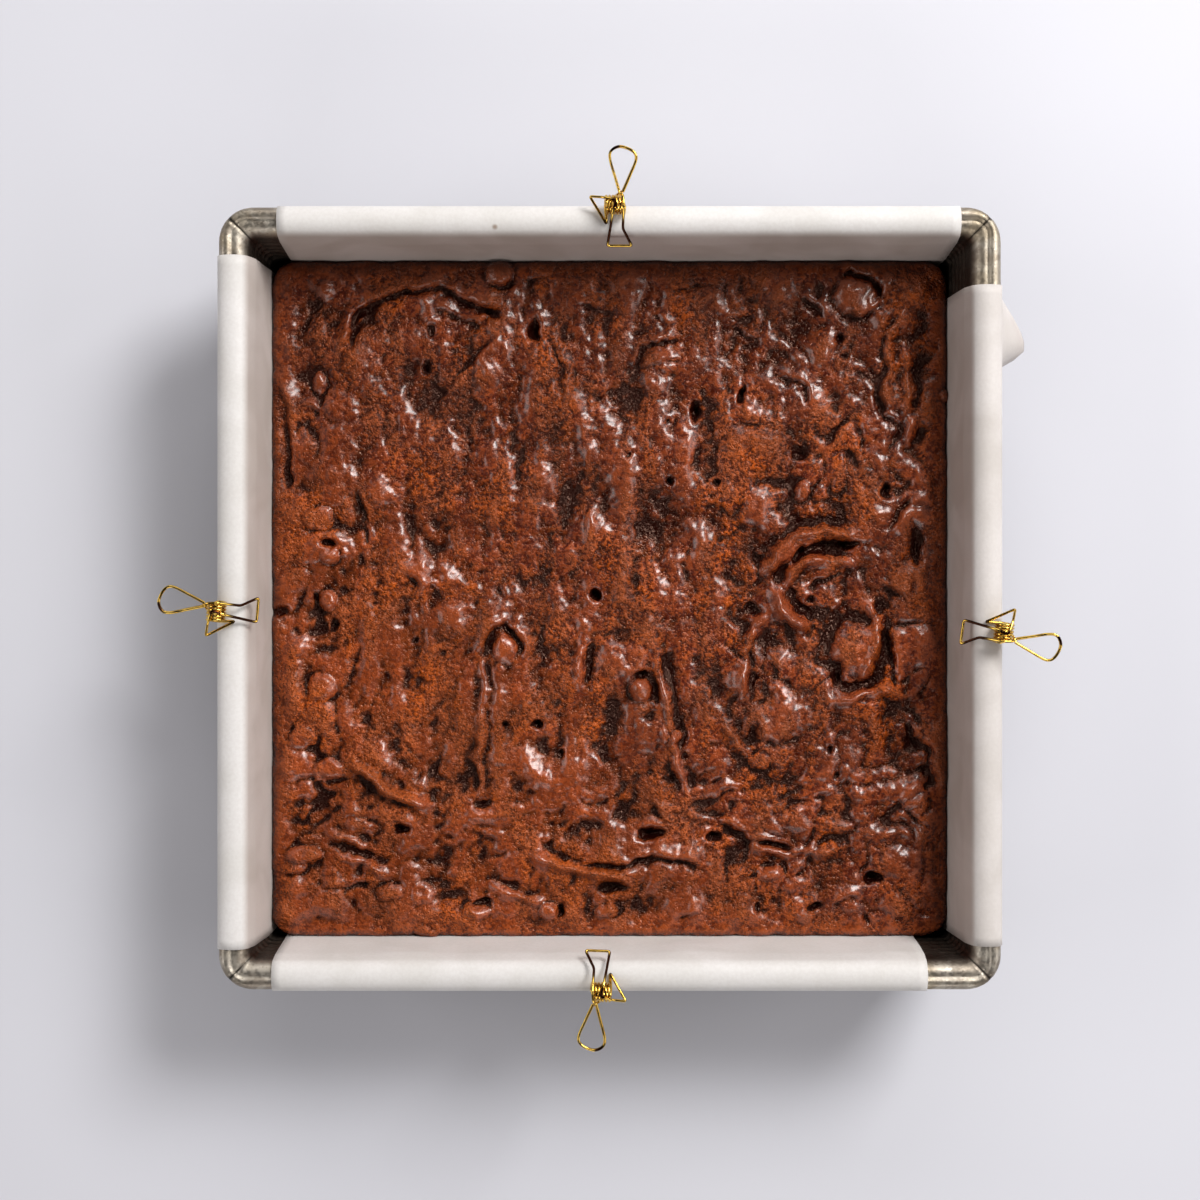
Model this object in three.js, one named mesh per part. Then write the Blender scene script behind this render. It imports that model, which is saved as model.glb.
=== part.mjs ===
// A slab of chocolate brownie in the square tin it was baked in.
// Two crossing strips of baking paper line the tin and fold out over its rim, and four wire
// clips hold them there.
// Millimetres, +Z up and +Y towards the back rim. The origin is the middle of the tin's underside.

import * as THREE from "three";

// Driving dimensions of the tin
const rimWidth = 246; // over the rolled rim, the same both ways
const tinDepth = 57;
const wallSlope = THREE.MathUtils.degToRad(5);
const sheet = 1; // thickness of the metal
const beadWidth = 8.8; // the rolled rim, from the inner wall to its outer edge
const beadHeight = 7;
const rimCornerRadius = 11;
const wallCornerRadius = 2.5;
const floorFillet = 2; // where the walls meet the floor
const ribPitch = 4; // the pressed ribs that run round the walls
const ribDepth = 0.35;
const ribbedFrom = 6;
const ribbedTo = 48;

// Driving dimensions of the paper, the brownie and the clips
const gap = 0.3; // between pieces that touch
const paper = 0.3;
const cornerMargin = 1.9; // least distance from a strip's edge to the next wall
const floorMargin = 1.3; // what is added to it on the floor
const flapLength = 28; // how far the paper hangs down outside, below the top of the rim
const crustHeight = 29.5; // mean height of the brownie's top above the tin's underside
const wireRadius = 0.45;
const coilRadius = 2.3; // to the middle of the wire
const coilTurns = 6;
const coilPitch = 1.02;

const rimHalf = rimWidth / 2;
const innerTopHalf = rimHalf - beadWidth;
const beadMiddle = rimHalf - beadWidth / 2;
const beadLevel = tinDepth - beadHeight / 2;
const floorLevel = sheet;

// Half the width between the tin's inner walls at a height.
function wallHalf(z) {
  return innerTopHalf - (tinDepth - z) * Math.tan(wallSlope);
}

function smoothStep(value, from, to) {
  return THREE.MathUtils.smoothstep(value, from, to);
}

// Closed surfaces

function closedSurface(positions, triangles) {
  const geometry = new THREE.BufferGeometry();
  geometry.setAttribute("position", new THREE.Float32BufferAttribute(positions, 3));
  geometry.setIndex(triangles);
  geometry.computeVertexNormals();
  return geometry;
}

// Joins rings of equal length, each a list of [x, y, z], and closes both ends with a flat fan.
function loft(rings) {
  const count = rings[0].length;
  const positions = rings.flat(2);
  const triangles = [];
  for (let ring = 0; ring < rings.length - 1; ring++) {
    for (let i = 0; i < count; i++) {
      const here = ring * count + i;
      const next = ring * count + ((i + 1) % count);
      triangles.push(here, here + count, next, next, here + count, next + count);
    }
  }
  for (const [ring, outward] of [[0, false], [rings.length - 1, true]]) {
    const middle = positions.length / 3;
    for (let axis = 0; axis < 3; axis++) {
      positions.push(rings[ring].reduce((sum, point) => sum + point[axis], 0) / count);
    }
    for (let i = 0; i < count; i++) {
      const here = ring * count + i;
      const next = ring * count + ((i + 1) % count);
      triangles.push(middle, outward ? next : here, outward ? here : next);
    }
  }
  return closedSurface(positions, triangles);
}

// A square with rounded corners, seen from above, anticlockwise.
function roundedSquare(half, radius, z, pointsPerCorner = 5) {
  const ring = [];
  for (let corner = 0; corner < 4; corner++) {
    const start = (corner * Math.PI) / 2;
    const middleX = (half - radius) * (corner === 0 || corner === 3 ? 1 : -1);
    const middleY = (half - radius) * (corner < 2 ? 1 : -1);
    for (let i = 0; i < pointsPerCorner; i++) {
      const angle = start + ((Math.PI / 2) * i) / (pointsPerCorner - 1);
      ring.push([middleX + radius * Math.cos(angle), middleY + radius * Math.sin(angle), z]);
    }
  }
  return ring;
}

// The tin: floor, ribbed sloping walls and a rolled rim, all one pressed and folded sheet

function ribWave(z) {
  if (z < ribbedFrom || z > ribbedTo) return 0;
  return (ribDepth / 2) * Math.cos(((z - ribbedFrom) / ribPitch) * 2 * Math.PI);
}

function tinRings() {
  const rings = [];
  const wallRing = (z, outside) => {
    const half = wallHalf(z) + outside * sheet + ribWave(z);
    rings.push(roundedSquare(half, wallCornerRadius + outside * sheet, z));
  };
  rings.push(roundedSquare(wallHalf(floorLevel) - floorFillet, wallCornerRadius, floorLevel));
  wallRing(floorLevel + floorFillet, 0);
  for (let z = ribbedFrom; z <= ribbedTo; z += ribPitch / 2) wallRing(z, 0);
  for (let degrees = 180; degrees >= -140; degrees -= 32) {
    const angle = THREE.MathUtils.degToRad(degrees);
    const half = beadMiddle + (beadWidth / 2) * Math.cos(angle);
    const z = beadLevel + (beadHeight / 2) * Math.sin(angle);
    const along = (half - innerTopHalf) / beadWidth;
    const radius = THREE.MathUtils.lerp(wallCornerRadius, rimCornerRadius, along);
    rings.push(roundedSquare(half, radius, z));
  }
  for (let z = ribbedTo; z >= ribbedFrom; z -= ribPitch / 2) wallRing(z, 1);
  wallRing(floorFillet, 1);
  rings.push(roundedSquare(wallHalf(0) + sheet - floorFillet, wallCornerRadius, 0));
  return rings;
}

// Baking paper: a strip that lies on the floor, climbs two facing walls, turns over the
// rim and hangs down outside

// One half of a strip's run, from the middle of the floor to the end of a flap, at a
// distance from the metal. Each station is [distance from the middle, height].
function halfRun(clearance, floorClearance) {
  const stations = [];
  const floor = floorLevel + floorClearance;
  const bend = 3;
  const bendMiddle = wallHalf(floor + bend) - clearance - ribDepth / 2 - bend;
  stations.push([bendMiddle, floor]);
  for (let step = 1; step <= 3; step++) {
    const angle = (step / 3) * (Math.PI / 2 - wallSlope);
    stations.push([bendMiddle + bend * Math.sin(angle), floor + bend - bend * Math.cos(angle)]);
  }
  stations.push([wallHalf(ribbedTo) - clearance - ribDepth / 2, ribbedTo]);
  const acrossBead = beadWidth / 2 + clearance;
  const overBead = beadHeight / 2 + clearance;
  for (let degrees = 180; degrees >= 0; degrees -= 30) {
    const angle = THREE.MathUtils.degToRad(degrees);
    stations.push([
      beadMiddle + acrossBead * Math.cos(angle),
      beadLevel + overBead * Math.sin(angle),
    ]);
  }
  const hang = 3;
  const leanIn = 1.2;
  for (let step = 1; step <= hang; step++) {
    const share = step / hang;
    stations.push([
      rimHalf + clearance - leanIn * share,
      beadLevel - share * (flapLength - beadHeight / 2),
    ]);
  }
  return stations;
}

// A strip runs along X, from one flap to the other. low and high are its edges' places on Y,
// each as [at the -X rim, at the +X rim]. columns are the shares of its width with vertices.
function paperStrip({ floorClearance, low, high, columns, curl }) {
  const layers = [gap, gap + paper].map((clearance, layer) => {
    const half = halfRun(clearance, floorClearance + layer * paper);
    const mirrored = half.map(([u, z]) => [-u, z]).reverse();
    return [...mirrored, ...half];
  });
  const stationCount = layers[0].length;
  const columnCount = columns.length;
  const positions = [];
  for (const run of layers) {
    for (const [u, z] of run) {
      const along = THREE.MathUtils.clamp((u / innerTopHalf + 1) / 2, 0, 1);
      const margin = cornerMargin + floorMargin * (1 - smoothStep(z, 4, 24));
      const widest = wallHalf(Math.min(z, beadLevel)) - margin;
      const lowEdge = Math.max(THREE.MathUtils.lerp(low[0], low[1], along), -widest);
      const highEdge = Math.min(THREE.MathUtils.lerp(high[0], high[1], along), widest);
      for (const share of columns) {
        const v = THREE.MathUtils.lerp(lowEdge, highEdge, share);
        const hanging = u > rimHalf ? smoothStep(beadLevel - z, 0, flapLength) : 0;
        positions.push(u + hanging * curl(v), v, z);
      }
    }
  }
  const vertex = (layer, station, column) =>
    (layer * stationCount + station) * columnCount + column;
  const triangles = [];
  const quad = (a, b, c, d) => triangles.push(a, b, c, a, c, d);
  for (let s = 0; s < stationCount - 1; s++) {
    for (let c = 0; c < columnCount - 1; c++) {
      quad(vertex(1, s, c), vertex(1, s + 1, c), vertex(1, s + 1, c + 1), vertex(1, s, c + 1));
      quad(vertex(0, s, c), vertex(0, s, c + 1), vertex(0, s + 1, c + 1), vertex(0, s + 1, c));
    }
    quad(vertex(0, s, 0), vertex(0, s + 1, 0), vertex(1, s + 1, 0), vertex(1, s, 0));
    const last = columnCount - 1;
    quad(vertex(0, s, last), vertex(1, s, last), vertex(1, s + 1, last), vertex(0, s + 1, last));
  }
  for (let c = 0; c < columnCount - 1; c++) {
    const end = stationCount - 1;
    quad(vertex(0, 0, c), vertex(1, 0, c), vertex(1, 0, c + 1), vertex(0, 0, c + 1));
    quad(vertex(0, end, c), vertex(0, end, c + 1), vertex(1, end, c + 1), vertex(1, end, c));
  }
  return closedSurface(positions, triangles);
}

// The upper corner of the right flap has sprung outwards.
function cornerCurl(v) {
  return 15 * smoothStep(v, 68, 83) * (1 - 0.2 * smoothStep(v, 84, 98));
}

// The brownie: one slab whose crust has folds, hollows and lumps

// Folds follow an arc. The batter stands up on the outer side of it and dips on the inner.
const folds = [
  { name: "arch at the back left", x: -60.5, y: 76.7, radius: 24.6, from: 36, to: 170, height: 1.9 },
  { name: "round lump at the back right", x: 80.5, y: 99, radius: 8, from: -20, to: 130, height: 1.4 },
  { name: "curl at the back", x: 15.5, y: 77, radius: 8, from: 20, to: 190, height: 1.2 },
  { name: "swirl, outer ring", x: 66.1, y: -0.3, radius: 22.5, from: 75, to: 125, height: 1.5 },
  { name: "swirl, middle ring", x: 66.1, y: -0.3, radius: 16.8, from: 45, to: 130, height: 1.6 },
  { name: "swirl, inner ring", x: 66.1, y: -0.3, radius: 9, from: -20, to: 280, height: 1.2 },
  { name: "tongue at the right", x: 83.4, y: -20, radius: 8.5, from: 190, to: 350, height: 1.6 },
  { name: "thumb mark", x: -34.3, y: -15.4, radius: 6, from: 0, to: 180, height: 1.2 },
  { name: "leaf at the right", x: 47, y: -22, radius: 15, from: 120, to: 240, height: 1.2 },
  { name: "fold at the front right", x: 36, y: -88, radius: 12, from: -10, to: 80, height: 1.5 },
];

// Grooves are straight creases in the crust.
const grooves = [
  { from: [-83, 42], to: [-78, 26], depth: 1.2 },
  { from: [94, 93], to: [90, 62], depth: 1.3 },
  { from: [-20, 86], to: [-15, 61], depth: 1.1 },
  { from: [-9, -86.9], to: [30, -87.5], depth: 1.6 },
  { from: [-85, -54.4], to: [-56.6, -68.2], depth: 1.2 },
  { from: [97.5, -40.3], to: [107, -62], depth: 1.8 },
  { from: [-106.5, 71], to: [-104.5, 36], depth: 1 },
  { from: [46, -79], to: [60, -82], depth: 1.1 },
];

// Hollows have a negative height, and lumps a positive one.
const mounds = [
  { name: "hole in the arch", x: -37.5, y: 93.4, rx: 4, ry: 3, height: -3 },
  { name: "hole at the middle", x: -4.4, y: 1.3, rx: 3, ry: 3.5, height: -3 },
  { name: "hole in the swirl", x: 77.9, y: 18, rx: 5, ry: 3, height: -3 },
  { name: "hole at the front", x: 1.1, y: -94.8, rx: 5.5, ry: 3.5, height: -2.6 },
  { name: "hollow at the front right", x: 13.9, y: -76.7, rx: 5, ry: 3.5, height: -2 },
  { name: "hollow at the right edge", x: 100, y: 17, rx: 3.5, ry: 8, height: -1.6 },
  { name: "hole at the back", x: 27.7, y: 61.6, rx: 3, ry: 4, height: -2.2 },
  { name: "chip at the back", x: -35.9, y: 106, rx: 4, ry: 4, height: 1.6 },
  { name: "chip at the middle", x: 10.3, y: -29.8, rx: 4, ry: 4, height: 2 },
  { name: "chip at the left", x: -92.3, y: -0.7, rx: 4, ry: 4, height: 1.4 },
  { name: "lump at the back right", x: 80.5, y: 99, rx: 7, ry: 6, height: 1.8 },
  { name: "plateau at the left", x: -55, y: 10, rx: 13, ry: 8, height: 1.2 },
  { name: "plateau at the front", x: -26, y: -50.5, rx: 15, ry: 10, height: 1.1 },
  { name: "plateau at the middle", x: 3.1, y: -17, rx: 9, ry: 9, height: 0.9 },
  { name: "plateau at the right", x: 80.3, y: -33, rx: 12, ry: 5, height: 1.4 },
];

function foldHeight(fold, x, y) {
  const outward = Math.hypot(x - fold.x, y - fold.y) - fold.radius;
  const degrees = THREE.MathUtils.radToDeg(Math.atan2(y - fold.y, x - fold.x));
  const turn = THREE.MathUtils.euclideanModulo(degrees - fold.from, 360);
  const span = fold.to - fold.from;
  const taper = Math.min(30, span / 3);
  if (turn > span) return 0;
  const strength = smoothStep(turn, 0, taper) * (1 - smoothStep(turn, span - taper, span));
  const ridge = Math.exp(-(((outward - 2.5) / 3) ** 2));
  const dip = Math.exp(-(((outward + 1.5) / 2.6) ** 2));
  return fold.height * strength * (ridge - dip);
}

function grooveDepth(groove, x, y) {
  const line = new THREE.Line3(
    new THREE.Vector3(...groove.from, 0),
    new THREE.Vector3(...groove.to, 0),
  );
  const nearest = line.closestPointToPoint(new THREE.Vector3(x, y, 0), true, new THREE.Vector3());
  return groove.depth * Math.exp(-((nearest.distanceTo(new THREE.Vector3(x, y, 0)) / 2.6) ** 2));
}

function moundHeight(mound, x, y) {
  return mound.height * Math.exp(-(((x - mound.x) / mound.rx) ** 2 + ((y - mound.y) / mound.ry) ** 2));
}

// Repeatable random numbers from 0 to 1
function seededRandom(seed) {
  let state = seed;
  return () => {
    state = (state * 1664525 + 1013904223) % 4294967296;
    return state / 4294967296;
  };
}

// Small uneven lumps all over the crust
const random = seededRandom(17);
const unevenness = Array.from({ length: 70 }, () => ({
  x: (random() - 0.5) * 200,
  y: (random() - 0.5) * 200,
  rx: 4 + random() * 6,
  ry: 4 + random() * 6,
  height: (random() - 0.45) * 1.5,
}));

function crustRelief(x, y) {
  const toEdge = wallHalf(crustHeight) - Math.max(Math.abs(x), Math.abs(y));
  const inside = smoothStep(toEdge, 2, 12);
  const dragMarks = 0.5 * Math.sin((x / 25) * 2 * Math.PI + 1.4 * Math.sin(y / 34));
  let height = inside * dragMarks - 1.2 * (1 - smoothStep(toEdge, 0.5, 4));
  for (const fold of folds) height += foldHeight(fold, x, y);
  for (const groove of grooves) height -= grooveDepth(groove, x, y);
  for (const mound of mounds) height += moundHeight(mound, x, y);
  for (const lump of unevenness) height += inside * moundHeight(lump, x, y);
  return height;
}

// Places a point of the unit square, -1 to 1 both ways, in a square with rounded corners.
function inRoundedSquare(s, t, half, radius) {
  const x = s * half;
  const y = t * half;
  const pastX = Math.max(Math.abs(x) - (half - radius), 0) / radius;
  const pastY = Math.max(Math.abs(y) - (half - radius), 0) / radius;
  const pullX = pastX * radius * (1 - Math.sqrt(1 - pastY ** 2 / 2));
  const pullY = pastY * radius * (1 - Math.sqrt(1 - pastX ** 2 / 2));
  return [x - Math.sign(x) * pullX, y - Math.sign(y) * pullY];
}

function brownieGeometry() {
  const cells = 44;
  const side = cells + 1;
  const cornerRadius = 9;
  const clearance = 2 * gap + paper + ribDepth / 2;
  const bottomLevel = floorLevel + 3 * gap + 2 * paper;
  const topHalf = wallHalf(crustHeight - 2) - clearance;
  const positions = [];
  const triangles = [];
  for (let row = 0; row <= cells; row++) {
    for (let column = 0; column <= cells; column++) {
      const s = (column / cells) * 2 - 1;
      const t = (row / cells) * 2 - 1;
      const [x, y] = inRoundedSquare(s, t, topHalf, cornerRadius);
      positions.push(x, y, crustHeight + crustRelief(x, y));
    }
  }
  for (let row = 0; row < cells; row++) {
    for (let column = 0; column < cells; column++) {
      const here = row * side + column;
      triangles.push(here, here + 1, here + side + 1, here, here + side + 1, here + side);
    }
  }
  const border = [];
  for (let i = 0; i < cells; i++) border.push([i, 0]);
  for (let i = 0; i < cells; i++) border.push([cells, i]);
  for (let i = cells; i > 0; i--) border.push([i, cells]);
  for (let i = cells; i > 0; i--) border.push([0, i]);
  const sides = [
    { z: 7, half: wallHalf(7) - clearance },
    { z: bottomLevel, half: wallHalf(bottomLevel) - clearance - 3.5 },
  ];
  let above = border.map(([column, row]) => row * side + column);
  for (const { z, half } of sides) {
    const below = [];
    for (const [column, row] of border) {
      const s = (column / cells) * 2 - 1;
      const t = (row / cells) * 2 - 1;
      below.push(positions.length / 3);
      positions.push(...inRoundedSquare(s, t, half, cornerRadius), z);
    }
    for (let i = 0; i < border.length; i++) {
      const next = (i + 1) % border.length;
      triangles.push(above[i], below[i], below[next], above[i], below[next], above[next]);
    }
    above = below;
  }
  const middle = positions.length / 3;
  positions.push(0, 0, bottomLevel);
  for (let i = 0; i < border.length; i++) {
    triangles.push(middle, above[(i + 1) % border.length], above[i]);
  }
  return closedSurface(positions, triangles);
}

// Wire clips. A clip's own frame has its origin at the rim's outer edge, level with the
// rim's top, +Y inwards over the rim and +X to the right of someone who looks inwards.

function point(x, y, z) {
  return new THREE.Vector3(x, y, z);
}

function smoothed(points, count) {
  return new THREE.CatmullRomCurve3(points, false, "centripetal").getPoints(count);
}

// The teardrop handle, from its crossing beside the coil and back to it.
function handleLoop(startLevel, endLevel, reach) {
  const drop = [
    [-1.5, -4.5, 0],
    [0.1, -10.2, 0.4],
    [1.2, -15, 0.8],
    [0.8, -17.6, 0.95],
    [-1.8, -18.8, 1],
    [-5.6, -17.3, 0.9],
    [-6.6, -14.8, 0.8],
    [-4.7, -9.7, 0.4],
    [-2.3, -4.7, 0],
  ];
  const lift = endLevel - startLevel;
  return smoothed(drop.map(([x, y, share]) => point(x, y * reach, startLevel + lift * share)), 15);
}

function clipWire() {
  const coilMiddle = point(0, -0.3, 3.7);
  const coilBottom = coilMiddle.z - coilRadius;
  const barDepth = -8.5; // the outer jaw's bar, below the top of the rim
  const outerJaw = [
    point(-3, -2, -1.2),
    point(-4.5, -2, barDepth + 0.8),
    point(-3.9, -2, barDepth),
    point(2.2, -2, barDepth),
    point(2.8, -2, barDepth + 0.8),
    point(1.6, -2.1, 0),
    point(0.6, -3, 1),
  ];
  const outerHandle = handleLoop(1.6, 2.4, 0.97).reverse();
  outerHandle.forEach((place) => place.setX(-3.8 - place.x));
  const coilPointsPerTurn = 7;
  const coil = [];
  for (let i = 0; i <= coilTurns * coilPointsPerTurn; i++) {
    const turn = i / coilPointsPerTurn;
    const angle = -Math.PI / 2 + turn * 2 * Math.PI;
    coil.push(
      point(
        (turn - coilTurns / 2) * coilPitch,
        coilMiddle.y + coilRadius * Math.cos(angle),
        coilMiddle.z + coilRadius * Math.sin(angle),
      ),
    );
  }
  const sideHook = [
    point(3, 3.2, coilBottom),
    point(2.8, 4.9, coilBottom + 0.1),
    point(3.4, 4.3, coilBottom + 0.5),
    point(7.6, -2.2, 3),
    point(7.5, -3.1, 3.5),
    point(6.6, -3.4, 3.8),
    point(2.1, -2.6, 6.6),
    point(0.4, -1.8, 7.2),
  ];
  const innerJaw = [
    point(-0.1, -0.9, 7.1),
    point(2.3, 11.7, -0.5),
    point(1.7, 12.4, -0.9),
    point(-4.8, 12.4, -0.9),
    point(-5.5, 11.9, -0.6),
    point(-3.2, 6.6, 3),
    point(-2.8, 0, 7.1),
  ];
  const innerHandle = handleLoop(6.3, 6.8, 1);
  return [...outerJaw, ...outerHandle, ...coil, ...sideHook, ...innerJaw, ...innerHandle];
}

// A round wire with flat ends through a list of points. The section turns with the path
// and doesn't twist about it.
function wireGeometry(points, radius, sides) {
  const rings = [];
  const tangentAt = (i) =>
    points[Math.min(i + 1, points.length - 1)].clone().sub(points[Math.max(i - 1, 0)]).normalize();
  let tangent = tangentAt(0);
  let across = new THREE.Vector3(1, 0, 0).cross(tangent).normalize();
  points.forEach((place, i) => {
    const next = tangentAt(i);
    across.applyQuaternion(new THREE.Quaternion().setFromUnitVectors(tangent, next));
    across.sub(next.clone().multiplyScalar(across.dot(next))).normalize();
    tangent = next;
    const up = new THREE.Vector3().crossVectors(tangent, across);
    const ring = [];
    for (let side = 0; side < sides; side++) {
      const angle = (side / sides) * 2 * Math.PI;
      const offset = across.clone().multiplyScalar(radius * Math.cos(angle));
      offset.add(up.clone().multiplyScalar(radius * Math.sin(angle)));
      ring.push(place.clone().add(offset).toArray());
    }
    rings.push(ring.reverse());
  });
  return loft(rings);
}

// Each clip stands where the photo shows it: its side of the tin, its place along that
// side and how far it is turned.
const clipPlaces = [
  { name: "clip_back", side: 180, along: [1.6, rimHalf], turned: 0 },
  { name: "clip_left", side: -90, along: [-rimHalf, -4], turned: -5 },
  { name: "clip_front", side: 0, along: [-2.8, -rimHalf], turned: -2 },
  { name: "clip_right", side: 90, along: [rimHalf, -10.8], turned: -8 },
];

function finish(color, roughness, metalness) {
  return new THREE.MeshStandardMaterial({ color, roughness, metalness });
}

function piece(name, geometry, material) {
  const mesh = new THREE.Mesh(geometry, material);
  mesh.name = name;
  return mesh;
}

const brownieInTin = new THREE.Group();

brownieInTin.add(piece("tin", loft(tinRings()), finish(0x9a9184, 0.4, 1)));
brownieInTin.add(piece("brownie", brownieGeometry(), finish(0x4e2418, 0.45, 0)));

const flat = () => 0;
const linerAlong = piece(
  "liner_along",
  paperStrip({
    floorClearance: gap,
    low: [-99.5, -110],
    high: [106, 104.4],
    columns: [0, 0.5, 1],
    curl: flat,
  }),
  finish(0xe9e5e2, 0.7, 0),
);
linerAlong.rotation.z = Math.PI / 2;
brownieInTin.add(linerAlong);

const linerAcross = piece(
  "liner_across",
  paperStrip({
    floorClearance: 2 * gap + paper,
    low: [-110, -109],
    high: [107.6, 98.3],
    columns: [0, 0.5, 0.85, 0.89, 0.93, 0.97, 1],
    curl: cornerCurl,
  }),
  finish(0xe9e5e2, 0.7, 0),
);
brownieInTin.add(linerAcross);

for (const { name, side, along, turned } of clipPlaces) {
  const clip = piece(name, wireGeometry(clipWire(), wireRadius, 5), finish(0xc9a227, 0.25, 1));
  clip.position.set(along[0], along[1], tinDepth);
  clip.rotation.z = THREE.MathUtils.degToRad(side + turned);
  brownieInTin.add(clip);
}

export default brownieInTin;
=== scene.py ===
"""A slab of chocolate brownie in the square tin it was baked in.

The tin is lined with two crossing strips of baking paper, which fold out over the rim and are
held there by four gold-coloured wire clips. Everything is in metres, with +Z up and +Y towards
the back rim.
"""
import math

import bpy
import numpy as np
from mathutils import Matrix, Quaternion, Vector


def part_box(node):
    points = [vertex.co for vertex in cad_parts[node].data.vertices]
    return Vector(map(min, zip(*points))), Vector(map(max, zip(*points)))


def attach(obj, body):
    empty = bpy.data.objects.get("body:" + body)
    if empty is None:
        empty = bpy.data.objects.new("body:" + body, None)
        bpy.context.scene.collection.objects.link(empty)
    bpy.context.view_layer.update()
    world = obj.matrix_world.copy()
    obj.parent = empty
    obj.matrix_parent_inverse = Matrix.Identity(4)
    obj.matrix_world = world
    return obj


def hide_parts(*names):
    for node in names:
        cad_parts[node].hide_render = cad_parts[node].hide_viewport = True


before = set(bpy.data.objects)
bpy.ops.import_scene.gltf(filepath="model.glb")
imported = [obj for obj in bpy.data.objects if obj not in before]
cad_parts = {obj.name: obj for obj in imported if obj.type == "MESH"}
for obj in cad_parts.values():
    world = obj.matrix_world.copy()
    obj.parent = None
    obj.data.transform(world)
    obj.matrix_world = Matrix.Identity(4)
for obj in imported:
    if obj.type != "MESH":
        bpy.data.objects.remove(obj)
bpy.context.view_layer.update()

MM = 0.001

# Sizes taken from the frame

TIN_HIGH = Vector(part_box("tin")[1])
RIM_HALF = TIN_HIGH.x
RIM_TOP = TIN_HIGH.z
BROWNIE_BOTTOM = Vector(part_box("brownie")[0]).z

# The tin's own sizes

WALL_SLOPE = math.radians(5)
SHEET = 1.0 * MM
BEAD_WIDTH = 8.8 * MM
BEAD_HEIGHT = 7.0 * MM
RIM_CORNER = 11.0 * MM
WALL_CORNER = 2.5 * MM
FLOOR_BEND = 2.0 * MM
RIB_PITCH = 4.0 * MM
RIB_DEPTH = 0.45 * MM
RIBS_FROM = 6.0 * MM
RIBS_TO = 50.0 * MM
WALL_TOP_HALF = RIM_HALF - BEAD_WIDTH
FLOOR_INSET = 8.0 * MM  # from the walls to the flat middle of the floor
SEAM_WIDTH = 0.45  # millimetres, as the next one
MITRE_WIDTH = 0.6
MITRE_DEPTH = 0.6 * MM
CORNER_STEPS = 12
BEND_STEPS = 4
RINGS_PER_RIB = 6

# The paper

PAPER = 0.22 * MM
PAPER_CLEAR = 0.35 * MM
PAPER_REACH = PAPER_CLEAR + PAPER  # from the tin's wall to the brownie's side
PAPER_BEND = 3.0 * MM  # radius where a strip turns up from the floor
FLAP_LENGTH = 28.0 * MM
FLAP_LEAN = 1.2 * MM
EDGE_MARGIN = 1.9  # millimetres from a strip's edge to the next wall, at least
FLOOR_MARGIN = 1.3  # what is added to it on the floor
CORNER_CURL = 13.2 * MM
PAPER_SPOT = (-36.0 * MM, 116.1 * MM, RIM_TOP + 0.5 * MM)  # a small brown fleck at the back
STRIP_COLUMNS = 72

# The brownie and the clips

CRUST_LEVEL = 29.5 * MM
CRUST_CORNER = 9.0 * MM
CRUST_CELLS = 300
WIRE_RADIUS = 0.43 * MM
WIRE_SIDES = 12
COIL_RADIUS = 2.7 * MM
COIL_PITCH = 1.02 * MM
COIL_TURNS = 6

# How the photograph's pixels measure the crust, for the places of its marks

CRUST_PIXEL = 0.328  # millimetres a pixel
CRUST_MIDDLE_PX = (609.5, 599.0)

# The camera looks straight down from well above the rim

CAMERA_X = -3.1 * MM
CAMERA_Y = -0.5 * MM
CAMERA_ABOVE_RIM = 600 * MM
VIEW_WIDTH_AT_RIM = 375.6 * MM

# The stage: one soft window at the back right, four wide fills round about, and the floor

WINDOW_PLACE = (0.78, 0.84, 1.12)
WINDOW_SIZE = (0.57, 0.57)
WINDOW_ENERGY = 24.5
FILL_COUNT = 4
FILL_RADIUS = 1.9
FILL_HEIGHT = 1.1
FILL_SIZE = (1.6, 0.9)
FILL_ENERGY = 13.6
FLOOR_HALF = 1.6


def wall_half(z):
    """Half the width between the tin's inner walls at a height."""
    return WALL_TOP_HALF - (RIM_TOP - z) * math.tan(WALL_SLOPE)


def ease(value, start, end):
    """0 before start, 1 after end, and smooth between them."""
    share = np.clip((value - start) / (end - start), 0, 1)
    return share * share * (3 - 2 * share)


# Meshes

def mesh_piece(name, vertices, faces, smooth=True):
    mesh = bpy.data.meshes.new(name)
    mesh.from_pydata([tuple(v) for v in vertices], [], [tuple(f) for f in faces])
    mesh.validate()
    mesh.polygons.foreach_set("use_smooth", [smooth] * len(mesh.polygons))
    piece = bpy.data.objects.new(name, mesh)
    bpy.context.collection.objects.link(piece)
    return piece


def point_values(piece, name, values):
    """Stores one number for each vertex, for the material to read."""
    attribute = piece.data.attributes.new(name, "FLOAT", "POINT")
    attribute.data.foreach_set("value", np.asarray(values, dtype=np.float32).ravel())


def place_in_object(piece, node):
    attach(piece, "root")
    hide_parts(node)


# Node trees

def new_node(tree, kind, links=None, **settings):
    """Adds a node, sets its own settings, and feeds its inputs by name or number."""
    node = tree.nodes.new(kind)
    for name, value in settings.items():
        setattr(node, name, value)
    for name, value in (links or {}).items():
        socket = node.inputs[name]
        if isinstance(value, bpy.types.NodeSocket):
            tree.links.new(value, socket)
        else:
            socket.default_value = value
    return node


def math_node(tree, operation, first, second=0.0, clamp=False):
    links = {0: first, 1: second}
    node = new_node(tree, "ShaderNodeMath", links, operation=operation, use_clamp=clamp)
    return node.outputs[0]


def times(tree, first, second):
    return math_node(tree, "MULTIPLY", first, second)


def stored(tree, name):
    """One number for each vertex, as point_values keeps it."""
    return new_node(tree, "ShaderNodeAttribute", attribute_name=name).outputs["Fac"]


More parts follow.
